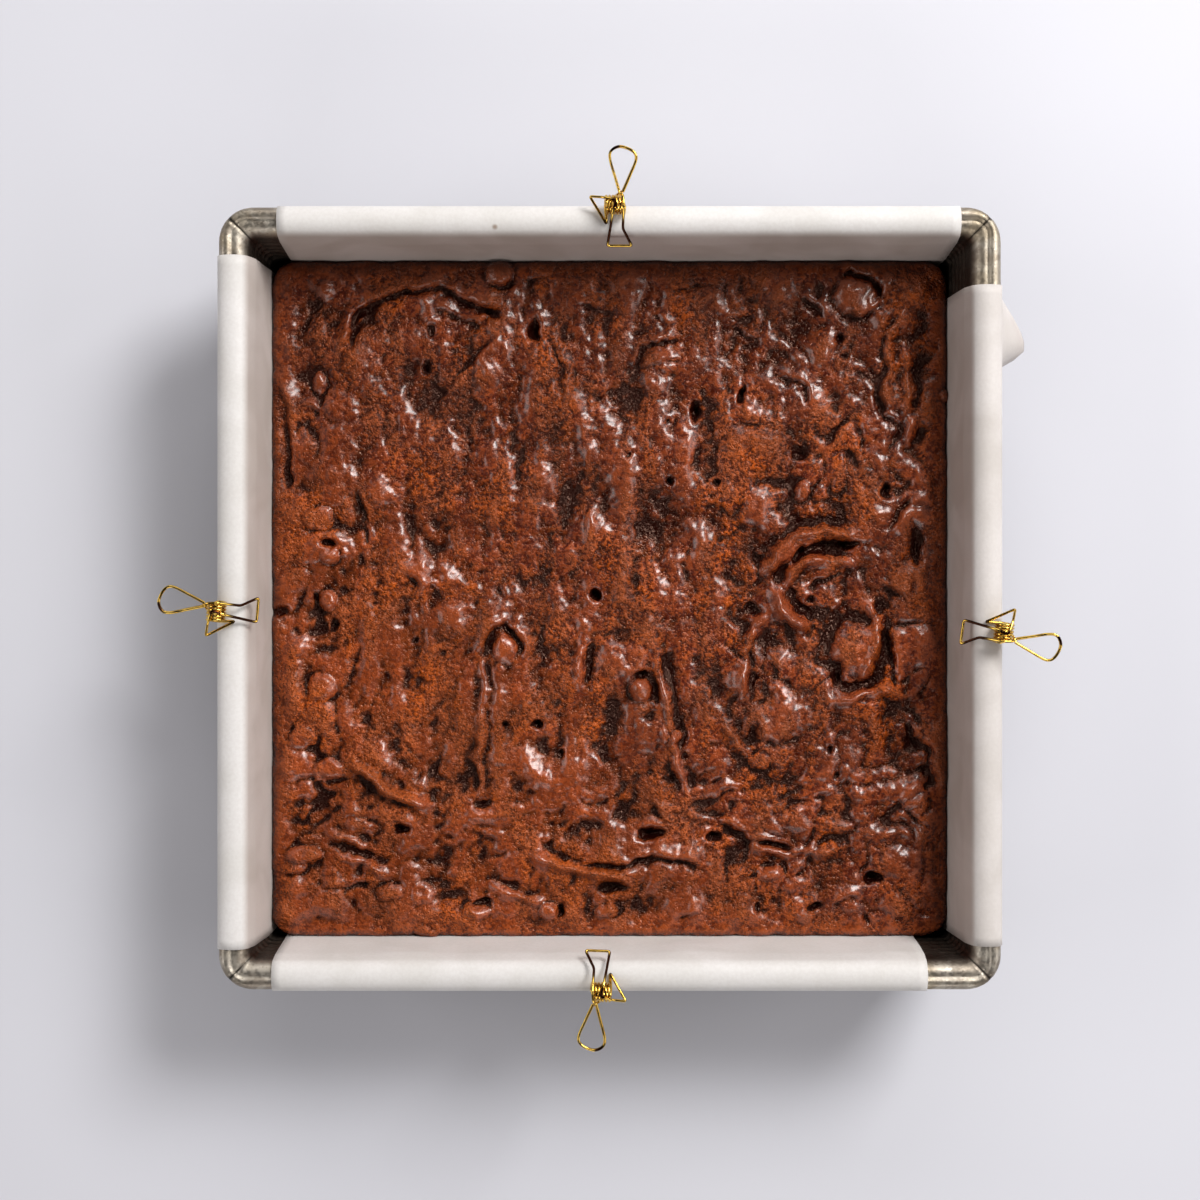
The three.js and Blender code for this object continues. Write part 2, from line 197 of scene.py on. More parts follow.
def ramp(tree, value, low, high, to_low=0.0, to_high=1.0):
    """Maps a value smoothly from one range to another, and holds it there."""
    links = {"Value": value, "From Min": low, "From Max": high, "To Min": to_low, "To Max": to_high}
    node = new_node(tree, "ShaderNodeMapRange", links, interpolation_type="SMOOTHSTEP")
    return node.outputs["Result"]


def blend_colours(tree, share, first, second):
    """The first colour at share 0, and the second at share 1."""
    node = new_node(tree, "ShaderNodeMix", data_type="RGBA")
    for number, value in ((0, share), (6, first), (7, second)):
        if isinstance(value, bpy.types.NodeSocket):
            tree.links.new(value, node.inputs[number])
        elif isinstance(value, tuple):
            node.inputs[number].default_value = (*value, 1.0)
        else:
            node.inputs[number].default_value = value
    return node.outputs[2]


def geometry_tree(name, sizes):
    """A Geometry Nodes tree with named inputs, and its group input and output nodes."""
    tree = bpy.data.node_groups.new(name, "GeometryNodeTree")
    tree.interface.new_socket("Geometry", in_out="INPUT", socket_type="NodeSocketGeometry")
    for label, kind in sizes:
        tree.interface.new_socket(label, in_out="INPUT", socket_type=kind)
    tree.interface.new_socket("Geometry", in_out="OUTPUT", socket_type="NodeSocketGeometry")
    return tree, tree.nodes.new("NodeGroupInput"), tree.nodes.new("NodeGroupOutput")


def finish_tree(tree, group_in, group_out, geometry):
    """Ends a tree in real geometry with its material on."""
    real = new_node(tree, "GeometryNodeRealizeInstances", {"Geometry": geometry})
    dressed = new_node(
        tree,
        "GeometryNodeSetMaterial",
        {"Geometry": real.outputs["Geometry"], "Material": group_in.outputs["Material"]},
    )
    tree.links.new(dressed.outputs["Geometry"], group_out.inputs["Geometry"])


def grow(source, tree, sizes, name):
    """Runs a tree on an object and keeps the result as a plain mesh piece."""
    modifier = source.modifiers.new("growth", "NODES")
    modifier.node_group = tree
    for item in tree.interface.items_tree:
        if item.in_out == "INPUT" and item.name in sizes:
            modifier[item.identifier] = sizes[item.name]
    evaluated = source.evaluated_get(bpy.context.evaluated_depsgraph_get())
    mesh = bpy.data.meshes.new_from_object(evaluated)
    mesh.name = name
    source.modifiers.remove(modifier)
    bpy.data.objects.remove(source)
    mesh.polygons.foreach_set("use_smooth", [True] * len(mesh.polygons))
    piece = bpy.data.objects.new(name, mesh)
    bpy.context.collection.objects.link(piece)
    return piece


# Shader groups that several finishes share

def shader_group(name, inputs, outputs):
    tree = bpy.data.node_groups.new(name, "ShaderNodeTree")
    for label, value in inputs:
        socket = tree.interface.new_socket(label, in_out="INPUT", socket_type="NodeSocketFloat")
        socket.default_value = value
    for label in outputs:
        tree.interface.new_socket(label, in_out="OUTPUT", socket_type="NodeSocketFloat")
    return tree, tree.nodes.new("NodeGroupInput"), tree.nodes.new("NodeGroupOutput")


def make_grain_group():
    """Fine uneven grain: Value runs from 0 to 1, and Pores marks small dark specks."""
    tree, group_in, group_out = shader_group(
        "fine_grain", [("Grains per metre", 500.0), ("Roughness", 0.6)], ["Value", "Pores"]
    )
    place = tree.nodes.new("ShaderNodeTexCoord").outputs["Object"]
    noise = new_node(
        tree,
        "ShaderNodeTexNoise",
        {
            "Vector": place,
            "Scale": group_in.outputs["Grains per metre"],
            "Detail": 1.5,
            "Roughness": group_in.outputs["Roughness"],
        },
    )
    cells = new_node(
        tree,
        "ShaderNodeTexVoronoi",
        {"Vector": place, "Scale": group_in.outputs["Grains per metre"], "Randomness": 1.0},
    )
    tree.links.new(ramp(tree, noise.outputs["Fac"], 0.3, 0.7), group_out.inputs["Value"])
    pores = ramp(tree, cells.outputs["Distance"], 0.12, 0.34, 1.0, 0.0)
    tree.links.new(pores, group_out.inputs["Pores"])
    return tree


def make_patches_group():
    """Large soft patches, for the slow changes of tone over a piece."""
    tree, group_in, group_out = shader_group(
        "soft_patches", [("Patches per metre", 30.0), ("Low", 0.35), ("High", 0.65)], ["Mask"]
    )
    place = tree.nodes.new("ShaderNodeTexCoord").outputs["Object"]
    noise = new_node(
        tree,
        "ShaderNodeTexNoise",
        {
            "Vector": place,
            "Scale": group_in.outputs["Patches per metre"],
            "Detail": 2.0,
            "Distortion": 0.6,
        },
    )
    mask = ramp(tree, noise.outputs["Fac"], group_in.outputs["Low"], group_in.outputs["High"])
    tree.links.new(mask, group_out.inputs["Mask"])
    return tree


GRAIN = make_grain_group()
PATCHES = make_patches_group()


def place_group(tree, group, **values):
    """Places a group with its own values, each named as the group's input is."""
    node = new_node(tree, "ShaderNodeGroup", node_tree=group)
    for name, value in values.items():
        node.inputs[name.replace("_", " ")].default_value = value
    return node.outputs


def new_material(name):
    material = bpy.data.materials.new(name)
    material.use_nodes = True
    tree = material.node_tree
    shader = tree.nodes["Principled BSDF"]
    return material, tree, shader


def add_bump(tree, shader, height, strength, distance):
    links = {"Height": height, "Strength": strength, "Distance": distance}
    normal = new_node(tree, "ShaderNodeBump", links).outputs["Normal"]
    tree.links.new(normal, shader.inputs["Normal"])


# Finishes

def crust_finish():
    """Dark red-brown crust: a shiny skin in places, orange-brown grain, and a duller margin, with
    painted shade in its hollows and along its edges, and painted light on its crests.
    """
    material, tree, shader = new_material("brownie_crust")
    relief = stored(tree, "relief")
    middle = stored(tree, "middle")
    skin = stored(tree, "skin")
    edge_shade = stored(tree, "edge_shade")
    front_left_paler = stored(tree, "front_left_paler")
    specks = place_group(tree, GRAIN, Grains_per_metre=1000.0, Roughness=0.7)
    flecks = place_group(tree, GRAIN, Grains_per_metre=460.0, Roughness=0.75)
    tone = place_group(tree, PATCHES, Patches_per_metre=110.0, Low=0.35, High=0.65)["Mask"]
    cloud = place_group(tree, PATCHES, Patches_per_metre=38.0, Low=0.38, High=0.62)["Mask"]
    fine = times(tree, math_node(tree, "ADD", flecks["Value"], specks["Value"]), 0.5)
    fine = ramp(tree, fine, 0.2, 0.8)
    dusty = place_group(tree, PATCHES, Patches_per_metre=60.0, Low=0.36, High=0.6)["Mask"]
    dusk = blend_colours(tree, dusty, (0.058, 0.0045, 0.0004), (0.062, 0.0080, 0.0028))
    light = blend_colours(tree, dusty, (0.520, 0.094, 0.0075), (0.430, 0.098, 0.0290))
    grainy = blend_colours(tree, fine, dusk, light)
    smooth = blend_colours(tree, fine, (0.088, 0.0100, 0.0022), (0.325, 0.068, 0.0175))
    colour = blend_colours(tree, skin, grainy, smooth)
    share = times(tree, tone, 0.45)
    share = math_node(tree, "MAXIMUM", share, times(tree, cloud, 0.6))
    colour = blend_colours(tree, share, colour, (0.026, 0.0026, 0.0006))
    margin = blend_colours(tree, fine, (0.062, 0.0078, 0.0017), (0.270, 0.054, 0.0120))
    colour = blend_colours(tree, middle, margin, colour)
    # painted light: raised crests made lighter
    crest = ramp(tree, relief, 0.54, 0.9, 0.0, 0.5)
    colour = blend_colours(tree, crest, colour, (0.360, 0.084, 0.024))
    warmer = times(tree, front_left_paler, 0.2)
    colour = blend_colours(tree, warmer, colour, (0.500, 0.105, 0.0170))
    pores = times(tree, specks["Pores"], ramp(tree, skin, 0.0, 1.0, 0.6, 0.25))
    colour = blend_colours(tree, pores, colour, (0.014, 0.0012, 0.0004))
    # painted shade: hollows darkened towards near black
    depth = ramp(tree, relief, 0.5, 0.22)
    colour = blend_colours(tree, depth, colour, (0.012, 0.0009, 0.0003))
    # painted shade of the tin's walls: the crust darkened along its edges and towards the back
    edge_shade_share = times(tree, edge_shade, 0.8)
    colour = blend_colours(tree, edge_shade_share, colour, (0.020, 0.0022, 0.0010))
    tree.links.new(colour, shader.inputs["Base Color"])
    tree.links.new(ramp(tree, skin, 0.0, 1.0, 0.29, 0.2), shader.inputs["Roughness"])
    shader.inputs["Specular IOR Level"].default_value = 0.36
    shader.inputs["Specular Tint"].default_value = (1.0, 0.6, 0.45, 1.0)
    shader.inputs["Coat Roughness"].default_value = 0.26
    shader.inputs["Coat IOR"].default_value = 1.6
    shader.inputs["Coat Tint"].default_value = (1.0, 0.86, 0.8, 1.0)
    coat = ramp(tree, skin, 0.0, 1.0, 0.12, 0.8)
    coat = times(tree, coat, ramp(tree, middle, 0.0, 1.0, 0.45, 1.0))
    coat = times(tree, coat, ramp(tree, relief, 0.36, 0.54))
    coat = times(tree, coat, ramp(tree, edge_shade, 0.0, 1.0, 1.0, 0.35))
    coat = times(tree, coat, math_node(tree, "SUBTRACT", 1.0, pores))
    tree.links.new(coat, shader.inputs["Coat Weight"])
    height = math_node(tree, "ADD", specks["Value"], times(tree, flecks["Value"], 1.6))
    height = math_node(tree, "SUBTRACT", height, specks["Pores"])
    height = times(tree, height, ramp(tree, middle, 0.0, 1.0, 0.6, 1.0))
    height = times(tree, height, ramp(tree, skin, 0.0, 1.0, 1.0, 0.5))
    add_bump(tree, shader, height, 1.0, 0.33 * MM)
    return material


def paper_finish():
    """Baking paper: near white over the rim, and duller where the dark wall shows through it, mixed with
    painted shade that differs from side to side.
    """
    material, tree, shader = new_material("baking_paper")
    wall_and_shade = stored(tree, "wall_and_shade")
    fibres = place_group(tree, GRAIN, Grains_per_metre=900.0, Roughness=0.7)
    cloud = place_group(tree, PATCHES, Patches_per_metre=40.0, Low=0.3, High=0.7)["Mask"]
    free = blend_colours(tree, cloud, (0.67, 0.65, 0.63), (0.74, 0.72, 0.71))
    # the darker paper: the dark wall showing through, with painted shade
    wall_and_shade_colour = blend_colours(tree, cloud, (0.43, 0.37, 0.335), (0.54, 0.48, 0.45))
    colour = blend_colours(tree, wall_and_shade, free, wall_and_shade_colour)
    fibre_share = times(tree, fibres["Value"], 0.12)
    colour = blend_colours(tree, fibre_share, colour, (0.42, 0.37, 0.34))
    place = tree.nodes.new("ShaderNodeTexCoord").outputs["Object"]
    links = {0: place, 1: PAPER_SPOT}
    away = new_node(tree, "ShaderNodeVectorMath", links, operation="DISTANCE").outputs["Value"]
    spot = ramp(tree, away, 0.4 * MM, 1.3 * MM, 0.75, 0.0)
    colour = blend_colours(tree, spot, colour, (0.24, 0.15, 0.09))
    tree.links.new(colour, shader.inputs["Base Color"])
    tree.links.new(ramp(tree, cloud, 0.0, 1.0, 0.62, 0.5), shader.inputs["Roughness"])
    add_bump(tree, shader, fibres["Value"], 0.15, 0.1 * MM)
    return material


def tin_finish():
    """Pewter-grey tinned steel: worn and speckled on the rim, dark in seams, and darkened below the
    rim's shoulder as painted shade.
    """
    material, tree, shader = new_material("tin_metal")
    specks = place_group(tree, GRAIN, Grains_per_metre=700.0, Roughness=0.8)
    wear = place_group(tree, PATCHES, Patches_per_metre=160.0, Low=0.42, High=0.62)["Mask"]
    stain = place_group(tree, PATCHES, Patches_per_metre=45.0, Low=0.4, High=0.7)["Mask"]
    seam = stored(tree, "seam")
    inside = stored(tree, "inside")
    colour = blend_colours(tree, wear, (0.31, 0.27, 0.225), (0.47, 0.43, 0.37))
    colour = blend_colours(tree, times(tree, stain, 0.6), colour, (0.36, 0.29, 0.18))
    specked = times(tree, specks["Pores"], 0.45)
    colour = blend_colours(tree, specked, colour, (0.2, 0.165, 0.13))
    # painted shade: the tin darkened below the rim's shoulder
    colour = blend_colours(tree, inside, colour, (0.085, 0.068, 0.056))
    colour = blend_colours(tree, seam, colour, (0.02, 0.016, 0.013))
    tree.links.new(colour, shader.inputs["Base Color"])
    shader.inputs["Metallic"].default_value = 1.0
    tree.links.new(ramp(tree, specks["Value"], 0.0, 1.0, 0.42, 0.60), shader.inputs["Roughness"])
    add_bump(tree, shader, specks["Value"], 0.3, 0.08 * MM)
    return material


def wire_finish():
    """Polished gold-coloured wire, with a painted dark reflection on the inner jaw's legs and on the
    bend at the top.
    """
    material, tree, shader = new_material("gold_wire")
    specks = place_group(tree, GRAIN, Grains_per_metre=1500.0, Roughness=0.6)
    tarnish = place_group(tree, PATCHES, Patches_per_metre=300.0, Low=0.4, High=0.7)["Mask"]
    dark_reflection = stored(tree, "dark_reflection")
    colour = blend_colours(tree, tarnish, (0.74, 0.50, 0.11), (0.58, 0.35, 0.06))
    # painted reflection: the inner jaw's legs and the top bend darkened as if mirroring the crust
    colour = blend_colours(tree, dark_reflection, colour, (0.035, 0.011, 0.005))
    tree.links.new(colour, shader.inputs["Base Color"])
    shader.inputs["Metallic"].default_value = 1.0
    tree.links.new(ramp(tree, specks["Value"], 0.0, 1.0, 0.07, 0.15), shader.inputs["Roughness"])
    return material


def floor_finish():
    material, tree, shader = new_material("pale_floor")
    cloud = place_group(tree, PATCHES, Patches_per_metre=3.0, Low=0.2, High=0.8)["Mask"]
    colour = blend_colours(tree, cloud, (0.635, 0.64, 0.70), (0.675, 0.68, 0.735))
    tree.links.new(colour, shader.inputs["Base Color"])
    shader.inputs["Roughness"].default_value = 0.75
    return material


# Noise

def hills(x, y, size, seed):
    """Smooth gradient noise, about -1 to 1, with hills and dips about one size apart."""
    count = 256
    angles = np.random.default_rng(seed).uniform(0, 2 * math.pi, (count, count))
    u = x / size + 97.3
    v = y / size + 61.7
    column = np.floor(u).astype(int)
    row = np.floor(v).astype(int)
    u = u - column
    v = v - row
    ease_u = u * u * u * (u * (u * 6 - 15) + 10)
    ease_v = v * v * v * (v * (v * 6 - 15) + 10)

    def pull(i, j):
        angle = angles[(column + i) % count, (row + j) % count]
        return np.cos(angle) * (u - i) + np.sin(angle) * (v - j)

    front = pull(0, 0) * (1 - ease_u) + pull(1, 0) * ease_u
    back = pull(0, 1) * (1 - ease_u) + pull(1, 1) * ease_u
    return 1.5 * (front * (1 - ease_v) + back * ease_v)


# The crust. Its marks are placed by the photograph's pixels and sized in millimetres.

# Creases: name, width, depth, height of the lip, and the points they pass. The lip stands on
# the left of the way a crease is drawn.
CREASES = [
    (
        "arch", 1.2, 2.6, 1.4,
        (350, 352), (355, 318), (377, 303), (400, 295), (427, 290), (452, 294), (475, 307), (499, 316),
    ),
    ("inside the arch", 0.8, 1.4, 0.8, (434, 309), (457, 318), (478, 324), (496, 318)),
    ("foot of the arch", 0.8, 1.3, 0.6, (498, 335), (487, 347), (460, 375), (434, 400)),
    ("outside the arch", 0.8, 1.3, 0.7, (341, 372), (345, 345), (366, 322)),
    ("left edge", 1.3, 1.8, 0.8, (281, 382), (286, 420), (290, 490)),
    ("left fold", 0.7, 1.1, 0.9, (305, 406), (325, 417)),
    ("under the back chip", 0.9, 1.8, 0.6, (490, 287), (503, 290), (512, 283)),
    ("back seam", 0.8, 1.5, 0.6, (547, 336), (557, 357), (562, 369), (563, 387), (563, 412)),
    ("back crack 1", 0.6, 1.1, 0.4, (518, 280), (545, 280), (557, 274)),
    ("back crack 2", 0.6, 1.2, 0.5, (575, 306), (589, 307), (604, 313), (619, 315)),
    ("back crack 3", 0.6, 1.1, 0.4, (670, 290), (700, 289), (725, 285)),
    ("curl", 1.0, 2.0, 1.1, (637, 369), (641, 351), (659, 345), (679, 340)),
    ("inside the curl", 0.7, 1.1, 0.9, (644, 370), (659, 363), (677, 360)),
    ("beside the curl", 0.7, 1.1, 0.6, (653, 315), (670, 333)),
    ("lump's crescent", 1.3, 2.2, 0.8, (842, 282), (852, 276), (868, 279), (879, 291), (872, 305)),
    ("beak, upper", 0.9, 1.6, 0.8, (726, 319), (753, 318)),
    ("beak, lower", 0.9, 1.6, 0.6, (730, 323), (757, 342)),
    ("back fold", 1.0, 1.8, 1.1, (801, 298), (816, 306), (825, 319)),
    ("back right crack", 0.7, 1.2, 0.6, (847, 324), (859, 319), (873, 312)),
    (
        "long crack", 1.0, 2.0, 0.9,
        (897, 315), (885, 333), (882, 351), (883, 372), (879, 397), (885, 415), (898, 427),
    ),
    ("right groove", 0.9, 1.4, 0.5, (918, 378), (918, 420)),
    ("right arc", 0.9, 1.5, 1.0, (777, 375), (795, 382), (805, 390), (806, 411)),
    ("right leaf", 0.9, 1.6, 0.9, (849, 421), (834, 435), (825, 448)),
    ("right slit", 1.1, 2.4, 0.8, (850, 450), (855, 461), (859, 471)),
    ("left groove", 0.9, 1.7, 0.8, (358, 487), (362, 510), (368, 519)),
    ("left slit 1", 0.8, 1.5, 0.5, (341, 547), (341, 560)),
    ("left slit 2", 0.8, 1.5, 0.5, (367, 525), (367, 545)),
    ("left slit 3", 0.8, 1.5, 0.5, (362, 548), (362, 563)),
    ("under the plateau", 0.9, 1.6, 1.0, (404, 570), (412, 580), (424, 588)),
    ("small roof", 0.7, 1.1, 0.7, (423, 594), (431, 584), (439, 593)),
    ("middle crack 1", 0.6, 1.1, 0.4, (502, 540), (501, 520), (499, 502)),
    ("middle crack 2", 0.6, 1.1, 0.4, (499, 582), (503, 603)),
    (
        "thumb mark", 1.2, 2.4, 1.2,
        (489, 655), (490, 639), (496, 630), (504, 627), (513, 632), (520, 645), (523, 660),
    ),
    ("beside the chip", 1.0, 2.0, 0.6, (655, 681), (658, 705)),
    ("swirl, upper arc", 1.2, 2.6, 1.4, (793, 564), (797, 555), (810, 547), (832, 541), (854, 543)),
    ("swirl, inner arc", 0.9, 1.8, 1.0, (806, 587), (812, 581), (823, 577), (840, 574)),
    ("swirl, lower rim", 1.0, 1.6, 0.8, (780, 616), (788, 625), (800, 630), (814, 629)),
    ("left of the swirl", 1.0, 1.8, 0.9, (753, 550), (760, 558), (760, 577)),
    ("right diagonal", 1.0, 1.7, 1.0, (913, 495), (900, 514), (885, 531)),
    ("right fold", 1.1, 2.0, 0.8, (883, 585), (892, 591), (903, 600)),
    ("right nick", 0.7, 1.4, 0.4, (912, 576), (912, 597)),
    ("tongue, right", 1.3, 2.6, 0.8, (886, 632), (892, 655), (893, 684)),
    ("tongue, left", 1.1, 2.8, 0.8, (837, 658), (838, 686)),
    ("leaf, right", 0.9, 1.4, 0.8, (765, 655), (772, 665), (780, 678)),
    ("leaf, left", 0.9, 1.4, 0.6, (753, 640), (751, 655), (753, 667)),
    ("front left crack 1", 0.8, 1.6, 0.6, (316, 782), (324, 790), (332, 795)),
    ("front left crack 2", 0.8, 1.6, 0.6, (301, 824), (310, 812), (322, 806)),
    ("under the wave", 0.9, 1.5, 0.8, (352, 771), (372, 782), (387, 794), (402, 804), (426, 807)),
    ("front left lip", 0.9, 1.6, 0.9, (283, 876), (297, 874), (312, 868)),
    ("front left crack 3", 0.7, 1.4, 0.6, (320, 888), (340, 885), (349, 888), (376, 881)),
    ("front slit", 0.9, 2.0, 0.8, (479, 755), (476, 770), (482, 794)),
    ("front bump's top", 1.1, 1.9, 0.7, (470, 903), (482, 900), (494, 902)),
    ("front line", 0.8, 1.8, 0.6, (668, 759), (672, 770), (676, 783)),
    ("front fold", 1.0, 1.6, 1.0, (649, 800), (658, 812), (667, 821)),
    (
        "long groove", 1.2, 2.4, 1.2,
        (583, 864), (610, 866), (625, 867), (640, 861), (659, 858), (680, 860), (700, 866),
    ),
    ("front crack", 0.7, 1.4, 0.5, (677, 917), (690, 915), (703, 915)),
    ("curved crack", 1.8, 3.2, 1.2, (907, 722), (913, 738), (928, 753), (930, 770), (939, 789)),
    ("right wing", 1.1, 2.0, 1.2, (720, 822), (735, 831), (747, 842), (747, 860)),
    ("right wing's groove", 1.0, 1.7, 0.8, (750, 839), (771, 842), (795, 848)),
    ("front nick", 0.7, 1.4, 0.4, (757, 880), (757, 891)),
    ("front right crack 1", 0.9, 1.6, 0.8, (834, 906), (845, 902), (856, 897)),
    ("front right crack 2", 0.7, 1.4, 0.5, (865, 912), (867, 924)),
    ("front right crack 3", 0.7, 1.2, 0.5, (889, 921), (905, 918)),
]

# Ridges: name, width, height, and the points they pass.
RIDGES = [
    ("right ridge", 1.6, 1.3, (906, 345), (907, 427), (910, 450)),
    ("middle ridge", 1.3, 1.0, (580, 640), (580, 680)),
    ("swirl, outer ridge", 1.5, 2.0, (770, 575), (776, 552), (795, 537), (825, 531), (850, 536)),
    ("swirl, middle ridge", 1.5, 2.1, (788, 590), (789, 573), (805, 563), (825, 562), (855, 565)),
    ("swirl, lower crescent", 2.0, 2.2, (774, 590), (781, 608), (793, 622), (812, 630)),
    ("swirl, tail", 1.6, 1.6, (760, 612), (748, 640), (742, 672), (740, 700)),
    ("swirl, right limb", 1.5, 1.6, (868, 600), (876, 628), (872, 655), (858, 676)),
    ("below the tongue", 1.7, 1.7, (832, 704), (855, 696), (882, 690), (904, 696)),
    ("wave", 1.4, 1.4, (350, 765), (370, 776), (385, 788), (400, 798), (424, 801), (437, 807)),
    ("front left ridge 1", 1.2, 1.1, (331, 834), (355, 840), (371, 851)),
    ("front left ridge 2", 1.2, 1.1, (337, 854), (362, 860), (385, 873)),
    ("front ridge", 1.3, 1.3, (662, 725), (663, 735), (665, 744)),
    ("long ridge", 1.5, 1.5, (532, 854), (550, 861), (583, 872), (625, 875)),
    ("front low ridge", 1.2, 1.1, (493, 888), (520, 897), (547, 903)),
    ("front right ridge", 1.3, 1.3, (723, 725), (738, 744), (748, 758)),
    ("right wing's ridge", 1.4, 1.3, (754, 847), (784, 853), (820, 851), (840, 847)),
    ("long seam", 1.0, 1.1, (482, 660), (485, 700), (481, 730), (477, 760), (483, 797)),
    ("beside the middle chip", 1.2, 1.3, (657, 655), (664, 690), (669, 725), (677, 760), (686, 795)),
    ("left of the middle plateau", 1.0, 0.9, (588, 640), (578, 660), (580, 692)),
]

# Mounds: name, place, half sizes across and along, and height. A hole's height is negative.
MOUNDS = [
    ("end of the arch", (492, 314), 4.2, 1.9, -2.8),
    ("hole below the arch 1", (428, 368), 1.5, 1.7, -2.2),
    ("hole below the arch 2", (430, 332), 1.6, 2.6, -1.6),
    ("back left chip", (326, 292), 3.0, 3.0, 1.0),
    ("shiny bean", (320, 385), 2.4, 4.2, 1.8),
    ("back chip", (500, 274), 4.2, 4.4, 2.4),
    ("back slot", (535, 331), 1.8, 4.0, -3.2),
    ("hole 1", (694, 411), 1.7, 3.0, -3.2),
    ("hole 2", (668, 421), 1.0, 1.1, -1.8),
    ("hole 3", (671, 483), 1.2, 1.3, -2.0),
    ("hole 4", (718, 484), 1.5, 1.6, -2.4),
    ("hole 5", (628, 457), 1.0, 1.0, -1.5),
    ("round lump", (856, 297), 7.0, 6.4, 2.2),
    ("back right hole 1", (840, 339), 1.8, 1.3, -1.8),
    ("back right hole 2", (844, 357), 1.6, 1.4, -1.8),
    ("right slot", (742, 396), 1.3, 3.4, -3.2),
    ("right hollow", (798, 453), 2.5, 2.5, -1.6),
    ("edge bead", (946, 397), 1.8, 1.8, 1.2),
    ("left lump", (320, 519), 5.0, 4.0, 1.4),
    ("left hole", (329, 544), 2.8, 1.4, -2.6),
    ("left bead", (331, 558), 3.0, 2.4, 1.3),
    ("left chip", (328, 601), 3.0, 3.3, 1.8),
    ("below the left chip", (335, 625), 1.3, 2.5, -2.0),
    ("beside the left chip", (316, 597), 1.0, 1.2, -1.6),
    ("gap at the left edge", (279, 612), 4.0, 1.6, -2.2),
    ("left pit", (416, 643), 1.0, 1.1, -1.6),
    ("left dome", (323, 687), 4.2, 4.2, 1.3),
    ("middle hole", (596, 595), 1.7, 2.2, -3.6),
    ("inside the thumb mark", (505, 650), 3.4, 4.6, 1.1),
    ("middle chip", (641, 690), 3.6, 3.6, 2.6),
    ("above the middle chip", (641, 674), 2.6, 1.5, -2.4),
    ("swirl's hole", (847, 545), 3.2, 1.5, -3.0),
    ("swirl's eye", (811, 600), 1.5, 1.5, -2.2),
    ("beside the swirl", (754, 609), 2.4, 2.4, -1.7),
    ("above the swirl", (801, 493), 2.6, 3.0, 1.4),
    ("right hole", (886, 493), 1.6, 2.2, -2.6),
    ("right leaf hollow", (915, 547), 2.2, 7.0, -2.0),
    ("tongue", (856, 652), 8.0, 10.0, 2.0),
    ("below the tongue's root", (850, 690), 5.0, 3.4, 1.1),
    ("front left lump 1", (305, 737), 4.0, 4.0, 1.3),
    ("front left lump 2", (329, 770), 5.0, 4.0, 1.4),
    ("front left hole", (403, 828), 2.5, 2.0, -2.8),
    ("front left bean", (305, 855), 5.4, 3.2, 1.8),
    ("front left lump 3", (389, 891), 4.0, 3.0, 1.1),
    ("front left lump 4", (424, 894), 4.0, 3.0, 1.1),
    ("front edge lump", (427, 934), 3.6, 2.4, 1.1),
    ("front bump", (475, 911), 4.6, 3.0, 1.6),
    ("front hole 1", (538, 725), 2.2, 1.6, -2.8),
    ("front hole 2", (505, 723), 1.3, 1.3, -2.0),
    ("front hole 3", (562, 755), 1.2, 1.2, -2.0),
    ("front hollow", (649, 714), 3.0, 3.0, -1.5),
    ("front bead", (676, 737), 2.4, 2.4, 1.3),
    ("front hole 4", (652, 833), 4.0, 2.1, -3.0),
    ("front hole 5", (713, 837), 3.2, 1.4, -2.4),
    ("front hole 6", (613, 888), 4.4, 2.1, -3.2),
    ("front lump", (607, 911), 4.0, 2.4, 1.3),
    ("front chip", (549, 911), 3.0, 2.7, 1.8),
    ("beside the front chip", (561, 910), 1.2, 2.5, -2.6),
    ("right front leaf", (753, 732), 2.0, 4.0, -2.0),
    ("right front lump", (759, 762), 3.4, 3.0, 1.6),
    ("right front dome", (915, 800), 4.6, 5.0, 1.4),
    ("wing's lump", (769, 873), 4.4, 2.5, 1.5),
    ("front right hole 1", (874, 879), 3.0, 1.6, -2.6),
    ("front right hole 2", (813, 906), 2.6, 1.3, -2.2),
    ("front right lump", (805, 916), 3.0, 2.4, 1.2),
    ("front right pit 1", (828, 749), 1.2, 1.2, -1.8),
    ("front right pit 2", (834, 777), 1.2, 1.2, -1.8),
    ("front right pit 3", (756, 909), 1.2, 1.2, -1.8),
]

# Plates that slope down towards the back right corner, and catch the light: place and size.
PLATES = [
    ((841, 692), 5.5), ((530, 753), 7.0), ((430, 568), 7.5), ((456, 569), 5.0), ((461, 612), 5.5),
    ((759, 406), 4.5), ((619, 653), 6.0), ((744, 622), 5.0), ((601, 520), 5.5), ((498, 358), 8.0),
    ((702, 524), 5.5), ((548, 769), 5.0), ((799, 856), 4.0), ((856, 396), 4.0), ((741, 675), 5.0),
    ((816, 556), 3.5), ((791, 609), 4.5), ((677, 738), 2.6), ((389, 487), 6.0), ((662, 513), 3.5),
    ((429, 802), 3.5), ((482, 810), 4.5), ((602, 759), 4.0), ((792, 555), 3.5), ((838, 597), 3.5),
    ((499, 827), 4.0), ((359, 856), 4.5), ((657, 379), 4.5), ((594, 449), 5.0), ((614, 817), 4.0),
]


def on_crust(pixel):
    """The place on the crust, in millimetres, that a pixel of the photograph shows."""
    return (
        (pixel[0] - CRUST_MIDDLE_PX[0]) * CRUST_PIXEL,
        (CRUST_MIDDLE_PX[1] - pixel[1]) * CRUST_PIXEL,
    )


